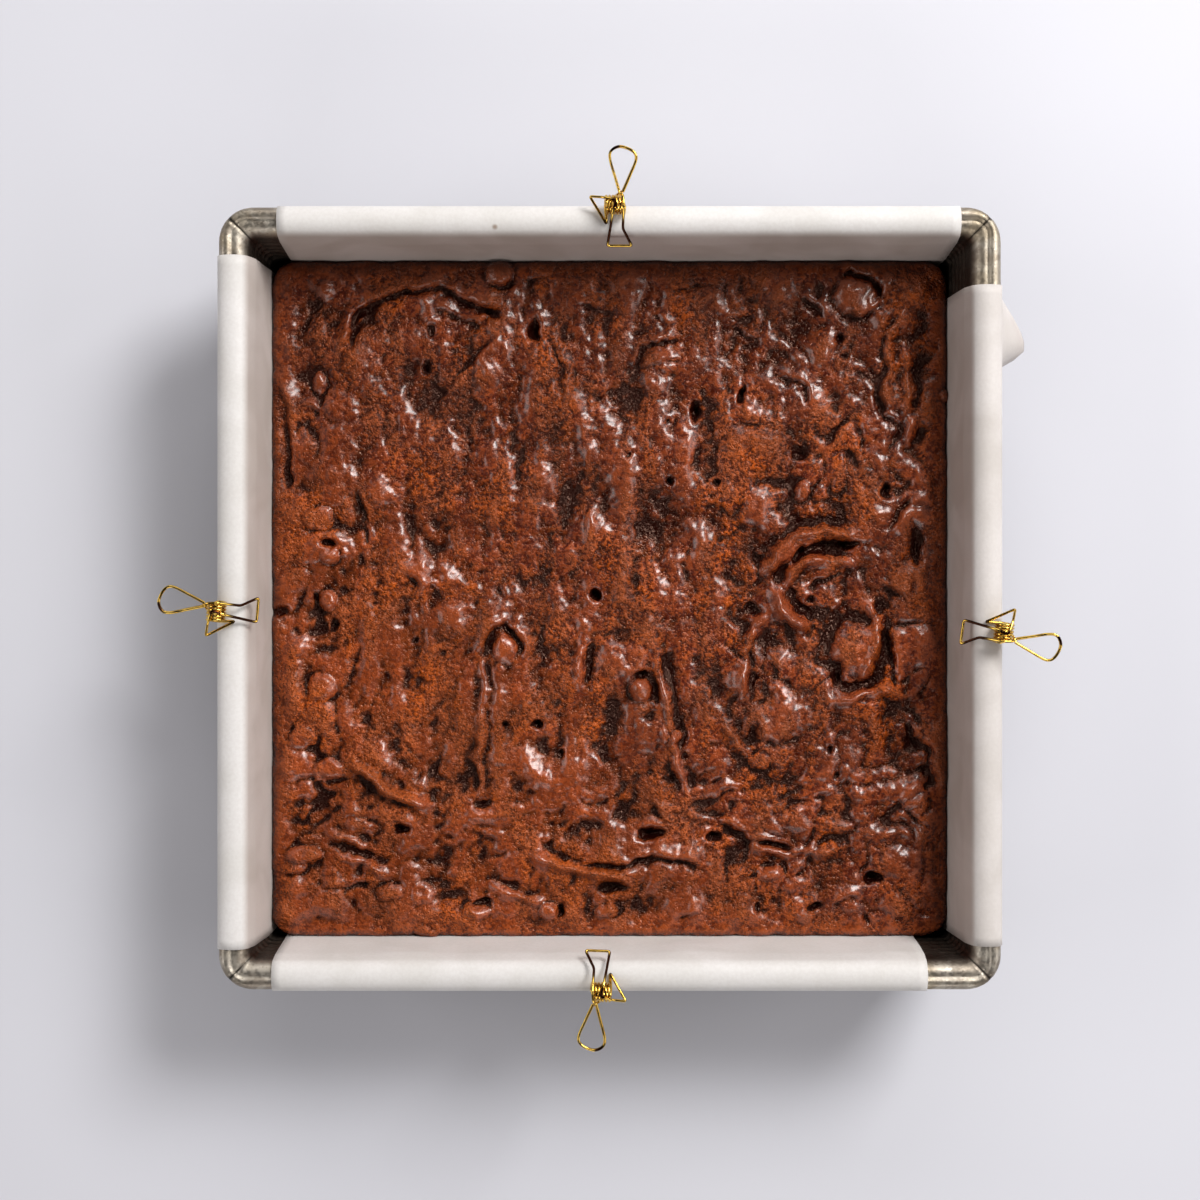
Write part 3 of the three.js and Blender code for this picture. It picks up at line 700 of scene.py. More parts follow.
def beside_line(x, y, pixels):
    """How far each place is from a line, plus on its left, and the line's fading at its ends."""
    points = [on_crust(pixel) for pixel in pixels]
    lengths = [math.dist(a, b) for a, b in zip(points, points[1:])]
    whole = sum(lengths)
    nearest = np.full(x.shape, 1e9)
    signed = np.zeros(x.shape)
    along = np.zeros(x.shape)
    passed = 0.0
    for (ax, ay), (bx, by), length in zip(points, points[1:], lengths):
        ux, uy = (bx - ax) / length, (by - ay) / length
        forward = np.clip((x - ax) * ux + (y - ay) * uy, 0, length)
        away_x = x - ax - forward * ux
        away_y = y - ay - forward * uy
        distance = np.hypot(away_x, away_y)
        closer = distance < nearest
        nearest = np.where(closer, distance, nearest)
        signed = np.where(closer, np.sign(ux * away_y - uy * away_x) * distance, signed)
        along = np.where(closer, passed + forward, along)
        passed += length
    taper = min(4.0, whole / 3)
    fading = ease(along, -0.5 * taper, taper) * (1 - ease(along, whole - taper, whole + 0.5 * taper))
    return signed, fading


def crease_relief(x, y, width, depth, lip, pixels):
    """A fold: a raised lip on the left of the line, a narrow crease, and a slope up from it."""
    away, strength = beside_line(x, y, pixels)
    width = width * (0.4 + 0.6 * strength)
    lip_side = ease(away, 0.0, 1.5 * width) * np.exp(-np.maximum(away - 1.5 * width, 0) / (2.6 * width))
    crease = np.exp(-np.abs(away / (width * np.where(away > 0, 0.65, 1.5))) ** 1.5)
    return strength * (1.3 * lip * lip_side - 0.68 * depth * crease)


def ridge_relief(x, y, width, height, pixels):
    """A rounded ridge, with a shallow dip along its left foot."""
    away, strength = beside_line(x, y, pixels)
    crest = np.exp(-np.abs(away / width) ** 1.6)
    return strength * height * (crest - 0.3 * np.exp(-((away / width - 2.4) ** 2)))


def mound_relief(x, y, place, across, along, height):
    """A dome with a dip round its foot, or a hole with a faint raised rim."""
    middle_x, middle_y = on_crust(place)
    reach = np.sqrt(((x - middle_x) / across) ** 2 + ((y - middle_y) / along) ** 2)
    if height < 0:
        rim = np.exp(-(((reach - 1.55) / 0.4) ** 2))
        return height * (np.exp(-((1.12 * reach) ** 3)) - 0.06 * rim)
    dome = np.sqrt(np.clip(1.15 - reach ** 2, 0, 1))
    foot = np.exp(-(((reach - 1.2) / 0.22) ** 2))
    return height * (dome - 0.25 * foot)


def plate_relief(x, y, place, size):
    """A patch tilted down towards the back right, and sunk less there than it is raised."""
    middle_x, middle_y = on_crust(place)
    across = (x - middle_x) / size
    along = (y - middle_y) / size
    slope = -0.36 * size * (across + along) * np.exp(-(across ** 2 + along ** 2) ** 1.3)
    return np.where(slope < 0, 0.6 * slope, slope)


def is_chip(name, rise):
    """Whether a mound is a chocolate chip, which stays round and smooth."""
    return "chip" in name and rise > 0


def placed_marks(x, y, shift_x, shift_y):
    """The creases, ridges, mounds and plates. All but the chips are a little distorted."""
    height = np.zeros(x.shape)
    for _, width, depth, lip, *pixels in CREASES:
        height += crease_relief(shift_x, shift_y, width, depth, lip, pixels)
    for _, width, rise, *pixels in RIDGES:
        height += 1.7 * ridge_relief(shift_x, shift_y, width, rise, pixels)
    for name, place, across, along, rise in MOUNDS:
        if is_chip(name, rise):
            height += mound_relief(x, y, place, across, along, rise)
        else:
            height += 1.2 * mound_relief(shift_x, shift_y, place, across, along, rise)
    for place, size in PLATES:
        height += plate_relief(shift_x, shift_y, place, size)
    return height


def rolling_folds(x, y, shift_x, shift_y):
    """Slow rolling, streaks dragged from back to front, and folds, most of them at the right."""
    rolling = 1.9 * hills(x, y, 30.0, 23) + 1.4 * hills(x, y, 14.0, 24)
    drag = 1.1 * hills(shift_x, y * 0.22, 8.0, 21) + 0.5 * hills(shift_x, y * 0.25, 4.2, 22)
    right = ease(x + 10 * hills(x, y, 30.0, 36), 18, 45)
    front = 0.42 * ease(-y, 52, 80)
    busy = np.maximum(np.maximum(right, front), 0.8 * ease(-x, 74, 90))
    far_x = x + (3.0 + 4.0 * right) * hills(x, y, 13.0, 15)
    far_y = y + (3.0 + 4.0 * right) * hills(x, y, 13.0, 16)
    lying = 0.7 + 0.6 * front
    folds = np.abs(hills(far_x, far_y * lying, 12.0, 45)) ** 0.75
    folded = 0.4 * ease(hills(x, y, 24.0, 30), -0.5, 0.4) + 0.6 * busy
    return rolling + drag * (1 - 0.55 * busy) + (0.5 + 2.1 * folded) * (folds - 0.35)


def crust_height(x, y, to_edge):
    """Height of the crust over its mean level, in millimetres."""
    middle = ease(to_edge + 3 * hills(x, y, 14.0, 18), 1.5, 9)
    shift_x = x + 1.1 * hills(x, y, 7.0, 11) + 0.5 * hills(x, y, 2.8, 12)
    shift_y = y + 1.1 * hills(x, y, 7.0, 13) + 0.5 * hills(x, y, 2.8, 14)
    small_folds = np.abs(hills(shift_x, shift_y * 0.7, 5.0, 29)) ** 0.8
    margin = 0.6 * hills(x, y, 8.0, 19) + 0.45 * hills(x, y, 4.5, 26)
    lumps = 0.34 * hills(x, y, 3.2, 27) + 0.32 * hills(x, y, 1.9, 28) + 0.16 * hills(x, y, 1.3, 38)
    height = placed_marks(x, y, shift_x, shift_y)
    height += middle * rolling_folds(x, y, shift_x, shift_y)
    height += (0.35 + 0.65 * middle) * 0.5 * (small_folds - 0.3)
    height += (1 - middle) * margin
    height += (0.4 + 0.6 * middle) * lumps
    height -= 2.0 * (1 - ease(to_edge, -0.2, 2.4)) ** 1.7
    return height


def shiny_skin(x, y):
    """Where the crust has a smooth skin, 0 to 1: on plates and chips, and in drawn-out patches."""
    far_x = x + 3.0 * hills(x, y, 16.0, 31)
    patches = 0.9 * hills(far_x, y * 0.7, 19.0, 32) + 0.8 * hills(far_x, y * 0.3, 6.0, 33)
    skin = ease(patches, -0.45, 0.35)
    for place, size in PLATES:
        middle_x, middle_y = on_crust(place)
        away = np.hypot(x - middle_x, y - middle_y) + 1.5 * hills(x, y, 4.0, 34)
        skin = np.maximum(skin, 1 - ease(away, 0.6 * size, 1.3 * size))
    for name, place, _, along, rise in MOUNDS:
        if is_chip(name, rise):
            middle_x, middle_y = on_crust(place)
            away = np.hypot(x - middle_x, y - middle_y)
            skin = np.maximum(skin, 1 - ease(away, along, 1.2 * along))
    return skin


def painted_edge_shade(x, y, half):
    """Painted shade of the tin's walls on the crust: along its back edge, less at the right and left,
    and broadly towards the back.
    """
    wavy = 1.5 * hills(x, y, 9.0, 35)
    back = np.maximum(1 - ease(half - y + wavy, 1.0, 9.0), 0.3 * ease(y - 0.2 * x, 35, 85))
    right = 0.8 * (1 - ease(half - x + wavy, 1.0, 7.5))
    left = 0.7 * (1 - ease(half + x + wavy, 0.5, 6.0))
    return np.maximum(np.maximum(back, right), left)


def paler_front_left(x, y):
    """Where the crust is a paler orange-brown, 0 to 1: more and more towards the front left."""
    return ease(-x - y + 14 * hills(x, y, 26.0, 37), 0, 95)


def blurred(values, reach):
    """A grid of values, softened by a Gaussian of the given reach in cells."""
    steps = np.arange(-3 * reach, 3 * reach + 1)
    weights = np.exp(-0.5 * (steps / reach) ** 2)
    weights /= weights.sum()
    soft = np.pad(values, 3 * reach, mode="edge")
    soft = np.apply_along_axis(np.convolve, 0, soft, weights, "valid")
    return np.apply_along_axis(np.convolve, 1, soft, weights, "valid")


def in_rounded_square(s, t, half, radius):
    """Places the unit square, -1 to 1 both ways, in a square with rounded corners."""
    x = s * half
    y = t * half
    past_x = np.maximum(np.abs(x) - (half - radius), 0) / radius
    past_y = np.maximum(np.abs(y) - (half - radius), 0) / radius
    pull_x = past_x * radius * (1 - np.sqrt(1 - past_y ** 2 / 2))
    pull_y = past_y * radius * (1 - np.sqrt(1 - past_x ** 2 / 2))
    return x - np.sign(x) * pull_x, y - np.sign(y) * pull_y


def local_relief(height):
    """How far the crust stands over its surroundings, 0.5 where it is level with them."""
    relief = 0.5 + 0.2 * (height - blurred(height, 2)) + 0.14 * (height - blurred(height, 6))
    return np.clip(relief + 0.07 * (height - blurred(height, 16)), 0, 1)


def add_sides(vertices, faces, border, border_s, border_t):
    """Carries the crust's border down to the slab's flat bottom, and closes it there."""
    rings = [
        (CRUST_LEVEL - 6 * MM, wall_half(CRUST_LEVEL - 6 * MM) - PAPER_REACH),
        (BROWNIE_BOTTOM + 4 * MM, wall_half(BROWNIE_BOTTOM + 4 * MM) - PAPER_REACH),
        (BROWNIE_BOTTOM + 1.2 * MM, wall_half(BROWNIE_BOTTOM) - PAPER_REACH - 1.2 * MM),
        (BROWNIE_BOTTOM, wall_half(BROWNIE_BOTTOM) - PAPER_REACH - 4 * MM),
    ]
    above = border
    for z, half in rings:
        ring_x, ring_y = in_rounded_square(border_s, border_t, half, CRUST_CORNER)
        below = np.arange(len(vertices), len(vertices) + len(border))
        ring = np.stack([ring_x, ring_y, np.full(len(border), z)], axis=-1)
        vertices = np.concatenate([vertices, ring])
        faces += np.stack([above, below, np.roll(below, -1), np.roll(above, -1)], axis=-1).tolist()
        above = below
    faces.append(above[::-1].tolist())
    return vertices, faces


def build_brownie(finish):
    """One closed slab: the crust as a fine grid, the sides against the paper, a flat bottom."""
    side = CRUST_CELLS + 1
    steps = np.linspace(-1, 1, side)
    s, t = np.meshgrid(steps, steps)
    top_half = wall_half(CRUST_LEVEL - 1.5 * MM) - PAPER_REACH
    x, y = in_rounded_square(s, t, top_half / MM, CRUST_CORNER / MM)
    to_edge = top_half / MM * (1 - np.maximum(np.abs(s), np.abs(t)))
    drawn_in = 0.6 * np.clip(hills(x, y, 11.0, 17) - 0.2, 0, 1.1) * (1 - ease(to_edge, 0, 9))
    x = x * (1 - drawn_in * MM / top_half)
    y = y * (1 - drawn_in * MM / top_half)
    height = crust_height(x, y, to_edge)
    crust = np.stack([x, y, CRUST_LEVEL / MM + height], axis=-1).reshape(-1, 3) * MM
    number = np.arange(side * side).reshape(side, side)
    faces = np.stack([number[:-1, :-1], number[:-1, 1:], number[1:, 1:], number[1:, :-1]], axis=-1)
    faces = faces.reshape(-1, 4).tolist()
    border = np.concatenate([number[0, :-1], number[:-1, -1], number[-1, :0:-1], number[:0:-1, 0]])
    vertices, faces = add_sides(crust, faces, border, s.ravel()[border], t.ravel()[border])
    brownie = mesh_piece("brownie_slab", vertices, faces)
    brownie.data.materials.append(finish)
    below = len(vertices) - len(crust)
    marks = [
        ("relief", local_relief(height), 0.5),
        ("skin", shiny_skin(x, y), 0.0),
        ("middle", ease(to_edge, 2, 9), 0.0),
        # painted shade along the crust's edges, and on the slab's sides
        ("edge_shade", painted_edge_shade(x, y, top_half / MM), 0.8),
        ("front_left_paler", paler_front_left(x, y) * ease(to_edge, 1, 8), 0.0),
    ]
    for name, values, on_sides in marks:
        point_values(brownie, name, np.concatenate([values.ravel(), np.full(below, on_sides)]))
    place_in_object(brownie, "brownie")


# The tin

def corner_ring(half, radius, z):
    """A square with rounded corners at a height, anticlockwise."""
    ring = []
    for corner in range(4):
        turn = corner * math.pi / 2
        middle_x = (half - radius) * (1 if corner in (0, 3) else -1)
        middle_y = (half - radius) * (1 if corner < 2 else -1)
        for step in range(CORNER_STEPS + 1):
            angle = turn + step / CORNER_STEPS * math.pi / 2
            ring.append((middle_x + radius * math.cos(angle), middle_y + radius * math.sin(angle), z))
    return ring


def rim_section():
    """The rolled rim, from the top of the inner wall out and round to the outer wall."""
    shoulder = [
        (-0.48, -5.6), (-0.25, -4.3), (0.15, -3.1), (0.7, -2.2), (1.35, -1.5), (2.0, -1.02),
        (2.65, -0.74), (3.2, -0.62), (3.7, -0.62), (4.1, -0.69), (4.4, -0.7), (4.7, -0.58), (5.1, -0.38),
    ]
    middle_out, middle_up = 6.2, -3.1
    bead_out, bead_up = 2.6, 3.1
    bead = []
    for degrees in range(110, -141, -12):
        angle = math.radians(degrees)
        bead.append((middle_out + bead_out * math.cos(angle), middle_up + bead_up * math.sin(angle)))
    return [(WALL_TOP_HALF + out * MM, RIM_TOP + up * MM) for out, up in shoulder + bead]


def tin_rings():
    """Rings from the floor's top up the inner wall, round the rim and down to the underside."""
    rings = [corner_ring(wall_half(SHEET) - FLOOR_INSET, WALL_CORNER, SHEET)]
    for step in range(BEND_STEPS + 1):
        angle = step / BEND_STEPS * math.pi / 2
        half = wall_half(SHEET + FLOOR_BEND) - FLOOR_BEND * (1 - math.sin(angle))
        rings.append(corner_ring(half, WALL_CORNER, SHEET + FLOOR_BEND * (1 - math.cos(angle))))
    steps = round((RIBS_TO - RIBS_FROM) / RIB_PITCH * RINGS_PER_RIB)
    heights = [RIBS_FROM + (RIBS_TO - RIBS_FROM) * step / steps for step in range(steps + 1)]
    rings += [corner_ring(wall_half(z), WALL_CORNER, z) for z in heights]
    for half, z in rim_section():
        share = ((half - WALL_TOP_HALF) / BEAD_WIDTH) ** 2
        rings.append(corner_ring(half, WALL_CORNER + share * (RIM_CORNER - WALL_CORNER), z))
    rings += [corner_ring(wall_half(z) + SHEET, WALL_CORNER + SHEET, z) for z in reversed(heights)]
    for step in range(BEND_STEPS + 1):
        angle = step / BEND_STEPS * math.pi / 2
        half = wall_half(FLOOR_BEND) + SHEET - FLOOR_BEND * (1 - math.cos(angle))
        rings.append(corner_ring(half, WALL_CORNER + SHEET, FLOOR_BEND * (1 - math.sin(angle))))
    rings.append(corner_ring(wall_half(0) + SHEET - FLOOR_INSET, WALL_CORNER, 0))
    return rings


def joined_rings(rings):
    """Vertices and faces of a row of rings, closed flat at the first and the last."""
    count = len(rings[0])
    vertices = [place for ring in rings for place in ring]
    faces = []
    for ring in range(len(rings) - 1):
        for i in range(count):
            here = ring * count + i
            after = ring * count + (i + 1) % count
            faces.append((here, here + count, after + count, after))
    faces.append(tuple(range(count)))
    faces.append(tuple(reversed(range(len(vertices) - count, len(vertices)))))
    return vertices, faces


def mark_tin(tin):
    """Marks the seams on the corners, and the inside below the rim's shoulder, which gets painted shade.
    """
    x, y, z = np.array([vertex.co for vertex in tin.data.vertices]).T
    across = np.abs(np.abs(x) - np.abs(y)) / MM
    outermost = np.maximum(np.abs(x), np.abs(y))
    off_floor = outermost > 100 * MM
    on_top = ease(z, RIM_TOP - 9 * MM, RIM_TOP - 2 * MM)
    point_values(tin, "seam", np.exp(-((across / SEAM_WIDTH) ** 2)) * off_floor * (0.4 + 0.6 * on_top))
    within = outermost < WALL_TOP_HALF + 1.6 * MM
    below = 1 - ease(z, RIM_TOP - 5.5 * MM, RIM_TOP - 1.1 * MM)
    point_values(tin, "inside", within * below)


def build_tin(finish):
    blank = mesh_piece("tin_blank", *joined_rings(tin_rings()))
    cut_mitres(blank)
    sizes = {
        "Rib Pitch": RIB_PITCH,
        "Rib Depth": RIB_DEPTH,
        "Lowest": RIBS_FROM,
        "Highest": RIBS_TO,
        "Material": finish,
    }
    tin = grow(blank, make_rib_tree(), sizes, "tin_shell")
    mark_tin(tin)
    place_in_object(tin, "tin")


def cut_mitres(tin):
    """Sinks a narrow slit along the diagonal of each corner of the rim."""
    for vertex in tin.data.vertices:
        place = vertex.co
        if place.z < RIM_TOP - BEAD_HEIGHT:
            continue
        across = abs(abs(place.x) - abs(place.y)) / MM
        upper = ease(place.z, RIM_TOP - 3 * MM, RIM_TOP - 1 * MM)
        depth = MITRE_DEPTH * math.exp(-((across / MITRE_WIDTH) ** 2)) * upper
        vertex.co = place + Vector((0, 0, -1)) * depth


def make_rib_tree():
    """Presses level ribs into upright walls: a wave of the height moves them in and out."""
    tree, group_in, group_out = geometry_tree(
        "pressed_ribs",
        [
            ("Rib Pitch", "NodeSocketFloat"),
            ("Rib Depth", "NodeSocketFloat"),
            ("Lowest", "NodeSocketFloat"),
            ("Highest", "NodeSocketFloat"),
            ("Material", "NodeSocketMaterial"),
        ],
    )
    place = tree.nodes.new("GeometryNodeInputPosition").outputs["Position"]
    split = new_node(tree, "ShaderNodeSeparateXYZ", {"Vector": place})
    above = math_node(tree, "SUBTRACT", split.outputs["Z"], group_in.outputs["Lowest"])
    turns = math_node(tree, "DIVIDE", above, group_in.outputs["Rib Pitch"])
    wave = math_node(tree, "COSINE", times(tree, turns, 2 * math.pi))
    swing = times(tree, wave, group_in.outputs["Rib Depth"])
    half_swing = times(tree, swing, 0.5)
    below = math_node(tree, "SUBTRACT", group_in.outputs["Highest"], split.outputs["Z"])
    fade_in = math_node(tree, "DIVIDE", above, group_in.outputs["Rib Pitch"], clamp=True)
    fade_out = math_node(tree, "DIVIDE", below, group_in.outputs["Rib Pitch"], clamp=True)
    on_wall = times(tree, fade_in, fade_out)
    move = times(tree, half_swing, on_wall)
    size_x = math_node(tree, "ABSOLUTE", split.outputs["X"])
    size_y = math_node(tree, "ABSOLUTE", split.outputs["Y"])
    larger = math_node(tree, "MAXIMUM", size_x, size_y)
    bend = math_node(tree, "ADD", 1.0, math_node(tree, "DIVIDE", move, larger))
    moved_x = times(tree, split.outputs["X"], bend)
    moved_y = times(tree, split.outputs["Y"], bend)
    target = new_node(
        tree, "ShaderNodeCombineXYZ", {"X": moved_x, "Y": moved_y, "Z": split.outputs["Z"]}
    )
    pressed = new_node(
        tree,
        "GeometryNodeSetPosition",
        {"Geometry": group_in.outputs["Geometry"], "Position": target.outputs["Vector"]},
    )
    finish_tree(tree, group_in, group_out, pressed.outputs["Geometry"])
    return tree


# The baking paper

def paper_run(clearance, floor_level):
    """Half of a strip's run, from the floor to the end of a flap, as places out and up."""
    floor_steps, bend_steps, wall_steps, rim_steps, flap_steps = 4, 5, 18, 14, 12
    bend_middle = wall_half(floor_level + PAPER_BEND) - clearance - RIB_DEPTH / 2 - PAPER_BEND
    run = [(bend_middle * step / floor_steps, floor_level) for step in range(floor_steps + 1)]
    for step in range(1, bend_steps + 1):
        angle = step / bend_steps * (math.pi / 2 - WALL_SLOPE)
        up = floor_level + PAPER_BEND * (1 - math.cos(angle))
        run.append((bend_middle + PAPER_BEND * math.sin(angle), up))
    first_out, first_up = run[-1]
    last_out = wall_half(RIBS_TO) - clearance - RIB_DEPTH / 2
    for step in range(1, wall_steps + 1):
        share = step / wall_steps
        up = first_up + share * (RIBS_TO - first_up)
        run.append((first_out + share * (last_out - first_out), up))
    bead_middle = RIM_HALF - BEAD_WIDTH / 2
    bead_level = RIM_TOP - BEAD_HEIGHT / 2
    for step in range(rim_steps + 1):
        angle = math.pi * (1 - step / rim_steps)
        out = (BEAD_WIDTH / 2 + clearance) * math.cos(angle)
        run.append((bead_middle + out, bead_level + (BEAD_HEIGHT / 2 + clearance) * math.sin(angle)))
    for step in range(1, flap_steps + 1):
        share = step / flap_steps
        down = share * (FLAP_LENGTH - BEAD_HEIGHT / 2)
        run.append((RIM_HALF + clearance - FLAP_LEAN * share, bead_level - down))
    return run


def corner_curl(v):
    """How far the right flap's back corner has sprung outwards at its end."""
    v = v / MM
    return CORNER_CURL * ease(v, 71, 82) * (1 - 0.7 * np.clip((v - 82) / 17, 0, 1) ** 1.5)


def strip_edges(low, high, out, up):
    """Where a strip's edges lie at one station, kept clear of the walls beside them."""
    along = (np.clip(out / WALL_TOP_HALF, -1, 1) + 1) / 2
    margin = (EDGE_MARGIN + FLOOR_MARGIN * (1 - ease(up / MM, 4, 24))) * MM
    widest = wall_half(min(up, RIM_TOP - BEAD_HEIGHT / 2)) - margin
    low_edge = max(low[0] + (low[1] - low[0]) * along, -widest)
    high_edge = min(high[0] + (high[1] - high[0]) * along, widest)
    return low_edge, high_edge


def paper_waves(out, up, v, hanging, seed):
    """How far the paper is moved off its run: inwards on a wall, and outwards on a flap."""
    side = math.copysign(1, out)
    on_wall = ease(up / MM, 30, 40) * (1 - ease(up / MM, 50, 56)) * (abs(out) < WALL_TOP_HALF)
    waves = 0.6 * hills(v / MM, up / MM * 0.4, 24.0, seed)
    waves += 0.3 * hills(v / MM, up / MM * 0.3, 8.0, seed + 1)
    inward = -side * on_wall * np.maximum(waves + 0.25, 0) * MM
    loose = side * hanging * (1.2 + hills(v / MM, up / MM, 40.0, seed + 2)) * MM
    return inward + loose


def build_strip(name, node, finish, floor_level, low, high, seed, wall_and_shade_greys, turned, curled):
    """A strip from one flap to the other.

    low and high are its edges at the two rims. Three values for each of its two ends say how grey it is
    on the inner wall, over the rim and on the hanging flap: the dark wall showing through, and painted
    shade that differs from side to side.
    """
    run = paper_run(PAPER_CLEAR, floor_level)
    stations = [(-out, up) for out, up in reversed(run)] + run[1:]
    places = []
    wall_and_shade = []
    for out, up in stations:
        low_edge, high_edge = strip_edges(low, high, out, up)
        v = low_edge + (high_edge - low_edge) * np.linspace(0, 1, STRIP_COLUMNS + 1)
        over_rim = abs(out) > RIM_HALF - BEAD_WIDTH / 2
        hanging = ease(RIM_TOP - BEAD_HEIGHT / 2 - up, 0, FLAP_LENGTH) if over_rim else 0.0
        sprung = hanging * corner_curl(v) if curled and out > 0 else 0.0
        u = out + paper_waves(out, up, v, hanging, seed) + sprung
        z = np.full(STRIP_COLUMNS + 1, up)
        places.append(np.stack([u, v, z], axis=-1))
        inside = 1 - ease(abs(out), WALL_TOP_HALF - 0.5 * MM, WALL_TOP_HALF + 1.5 * MM)
        on_inner, over_top, on_flap = wall_and_shade_greys[1] if out > 0 else wall_and_shade_greys[0]
        # painted shade, different for each side, mixed with the dark wall showing through on the inner
        # wall
        grey = max(on_inner * inside, over_top * (1 - inside), on_flap * hanging)
        wall_and_shade.append(np.full(STRIP_COLUMNS + 1, grey))
    sheet = np.array(places)
    if turned:
        sheet = np.stack([-sheet[..., 1], sheet[..., 0], sheet[..., 2]], axis=-1)
    rows = len(stations)
    number = np.arange(rows * (STRIP_COLUMNS + 1)).reshape(rows, STRIP_COLUMNS + 1)
    faces = np.stack([number[:-1, :-1], number[1:, :-1], number[1:, 1:], number[:-1, 1:]], axis=-1)
    strip = mesh_piece(name, sheet.reshape(-1, 3), faces.reshape(-1, 4).tolist())
    strip.data.materials.append(finish)
    point_values(strip, "wall_and_shade", wall_and_shade)
    solid = strip.modifiers.new("thickness", "SOLIDIFY")
    solid.thickness = PAPER
    solid.offset = 1.0
    place_in_object(strip, node)


# The wire clips. A clip's own frame has its origin at the rim's outer edge, level with the
# rim's top, +Y inwards over the rim and +X to the right of someone who looks inwards.

def smoothed(points, count):
    """Points spread along a smooth curve through the given ones."""
    points = [np.array(point, dtype=float) for point in points]
    padded = [2 * points[0] - points[1], *points, 2 * points[-1] - points[-2]]
    spans = len(points) - 1
    result = []
    for step in range(count + 1):
        place = step / count * spans
        span = min(int(place), spans - 1)
        t = place - span
        a, b, c, d = padded[span:span + 4]
        square = (2 * a - 5 * b + 4 * c - d) * t ** 2
        cube = (3 * b - a - 3 * c + d) * t ** 3
        result.append(0.5 * (2 * b + (c - a) * t + square + cube))
    return result


def rounded_corners(points, radius, steps=5):
    """A path with each corner turned on a short curve."""
    points = [np.array(point, dtype=float) for point in points]
    result = [points[0]]
    for before, corner, after in zip(points, points[1:], points[2:]):
        back = before - corner
        ahead = after - corner
        reach = min(radius, 0.45 * np.linalg.norm(back), 0.45 * np.linalg.norm(ahead))
        start = corner + back / np.linalg.norm(back) * reach
        end = corner + ahead / np.linalg.norm(ahead) * reach
        for step in range(steps + 1):
            t = step / steps
            result.append((1 - t) ** 2 * start + 2 * t * (1 - t) * corner + t ** 2 * end)
    result.append(points[-1])
    return result


def closely_spaced(points, longest):
    """The same path, with points added so that no step is longer than given."""
    points = [np.array(point, dtype=float) for point in points]
    result = [points[0]]
    for before, after in zip(points, points[1:]):
        steps = max(1, math.ceil(np.linalg.norm(after - before) / longest))
        result += [before + (after - before) * step / steps for step in range(1, steps + 1)]
    return result


def handle_loop(start_level, end_level, further_out):
    """A teardrop handle, from its crossing beside the coil and back to it."""
    # Each place is across, inwards, and the share of the lift reached there
    drop = [
        (-1.4, -2.7, 0.0),
        (0.3, -8.4, 0.4),
        (1.6, -13.0, 0.8),
        (1.2, -15.6, 0.95),
        (-1.6, -16.9, 1.0),
        (-5.4, -15.5, 0.9),
        (-6.5, -13.0, 0.8),
        (-4.6, -8.0, 0.4),
        (-2.4, -2.9, 0.0),
    ]
    lift = end_level - start_level
    places = [(x, y - further_out, start_level + lift * share) for x, y, share in drop]
    return smoothed(places, 60)


def clip_path():
    """The clip's one wire, in millimetres: outer jaw and handle, coil, hook, inner jaw, handle."""
    coil_middle_y = 0.5
    coil_middle_z = 3.9
    coil_radius = COIL_RADIUS / MM
    coil_bottom = coil_middle_z - coil_radius
    bar_depth = -8.5
    outer_jaw = rounded_corners(
        [
            (-2.4, -1.3, -1.2),
            (-3.3, -1.3, bar_depth),
            (3.3, -1.3, bar_depth),
            (1.6, -1.5, -0.2),
            (0.2, -2.6, 1.2),
        ],
        1.0,
    )
    outer_handle = list(reversed(handle_loop(2.4, 1.6, 1.2)))
    coil = []
    steps = 24
    for step in range(COIL_TURNS * steps + 1):
        turn = step / steps
        angle = -math.pi / 2 + turn * 2 * math.pi
        coil.append(
            (
                (turn - COIL_TURNS / 2) * COIL_PITCH / MM,
                coil_middle_y + coil_radius * math.cos(angle),
                coil_middle_z + coil_radius * math.sin(angle),
            )
        )
    hook_and_jaw = rounded_corners(
        [
            (3.05, 1.2, coil_bottom),
            (2.6, 6.1, coil_bottom + 0.1),
            (7.9, -2.3, 3.1),
            (3.8, -1.3, 6.7),
            (-0.2, -0.2, 7.8),
            (0.8, 3.7, 6.4),
            (2.4, 12.4, -0.9),
            (-5.3, 12.4, -0.9),
            (-2.4, 7.7, 3.2),
            (-2.7, 1.0, 7.6),
            (-2.3, -2.0, 6.9),
        ],
        0.9,
    )
    inner_handle = handle_loop(6.2, 7.2, 0.0)
    parts = [outer_jaw, outer_handle, coil, hook_and_jaw, inner_handle]
    return closely_spaced([point for part in parts for point in part], 1.0)


def make_wire_tree():
    """Draws round wire along a path, with closed ends."""
    tree, group_in, group_out = geometry_tree(
        "drawn_wire",
        [
            ("Wire Radius", "NodeSocketFloat"),
            ("Sides", "NodeSocketInt"),
            ("Material", "NodeSocketMaterial"),
        ],
    )
    section = new_node(
        tree,
        "GeometryNodeCurvePrimitiveCircle",
        {"Resolution": group_in.outputs["Sides"], "Radius": group_in.outputs["Wire Radius"]},
    )
    wire = new_node(
        tree,
        "GeometryNodeCurveToMesh",
        {
            "Curve": group_in.outputs["Geometry"],
            "Profile Curve": section.outputs["Curve"],
            "Fill Caps": True,
        },
    )
    finish_tree(tree, group_in, group_out, wire.outputs["Mesh"])
    return tree


CLIP_PLACES = [
    ("clip_back", 180, (1.6 * MM, RIM_HALF), 0),
    ("clip_left", -90, (-RIM_HALF, -4.0 * MM), -5),
    ("clip_front", 0, (-2.8 * MM, -RIM_HALF), -2),
    ("clip_right", 90, (RIM_HALF, -10.8 * MM), -8),
]


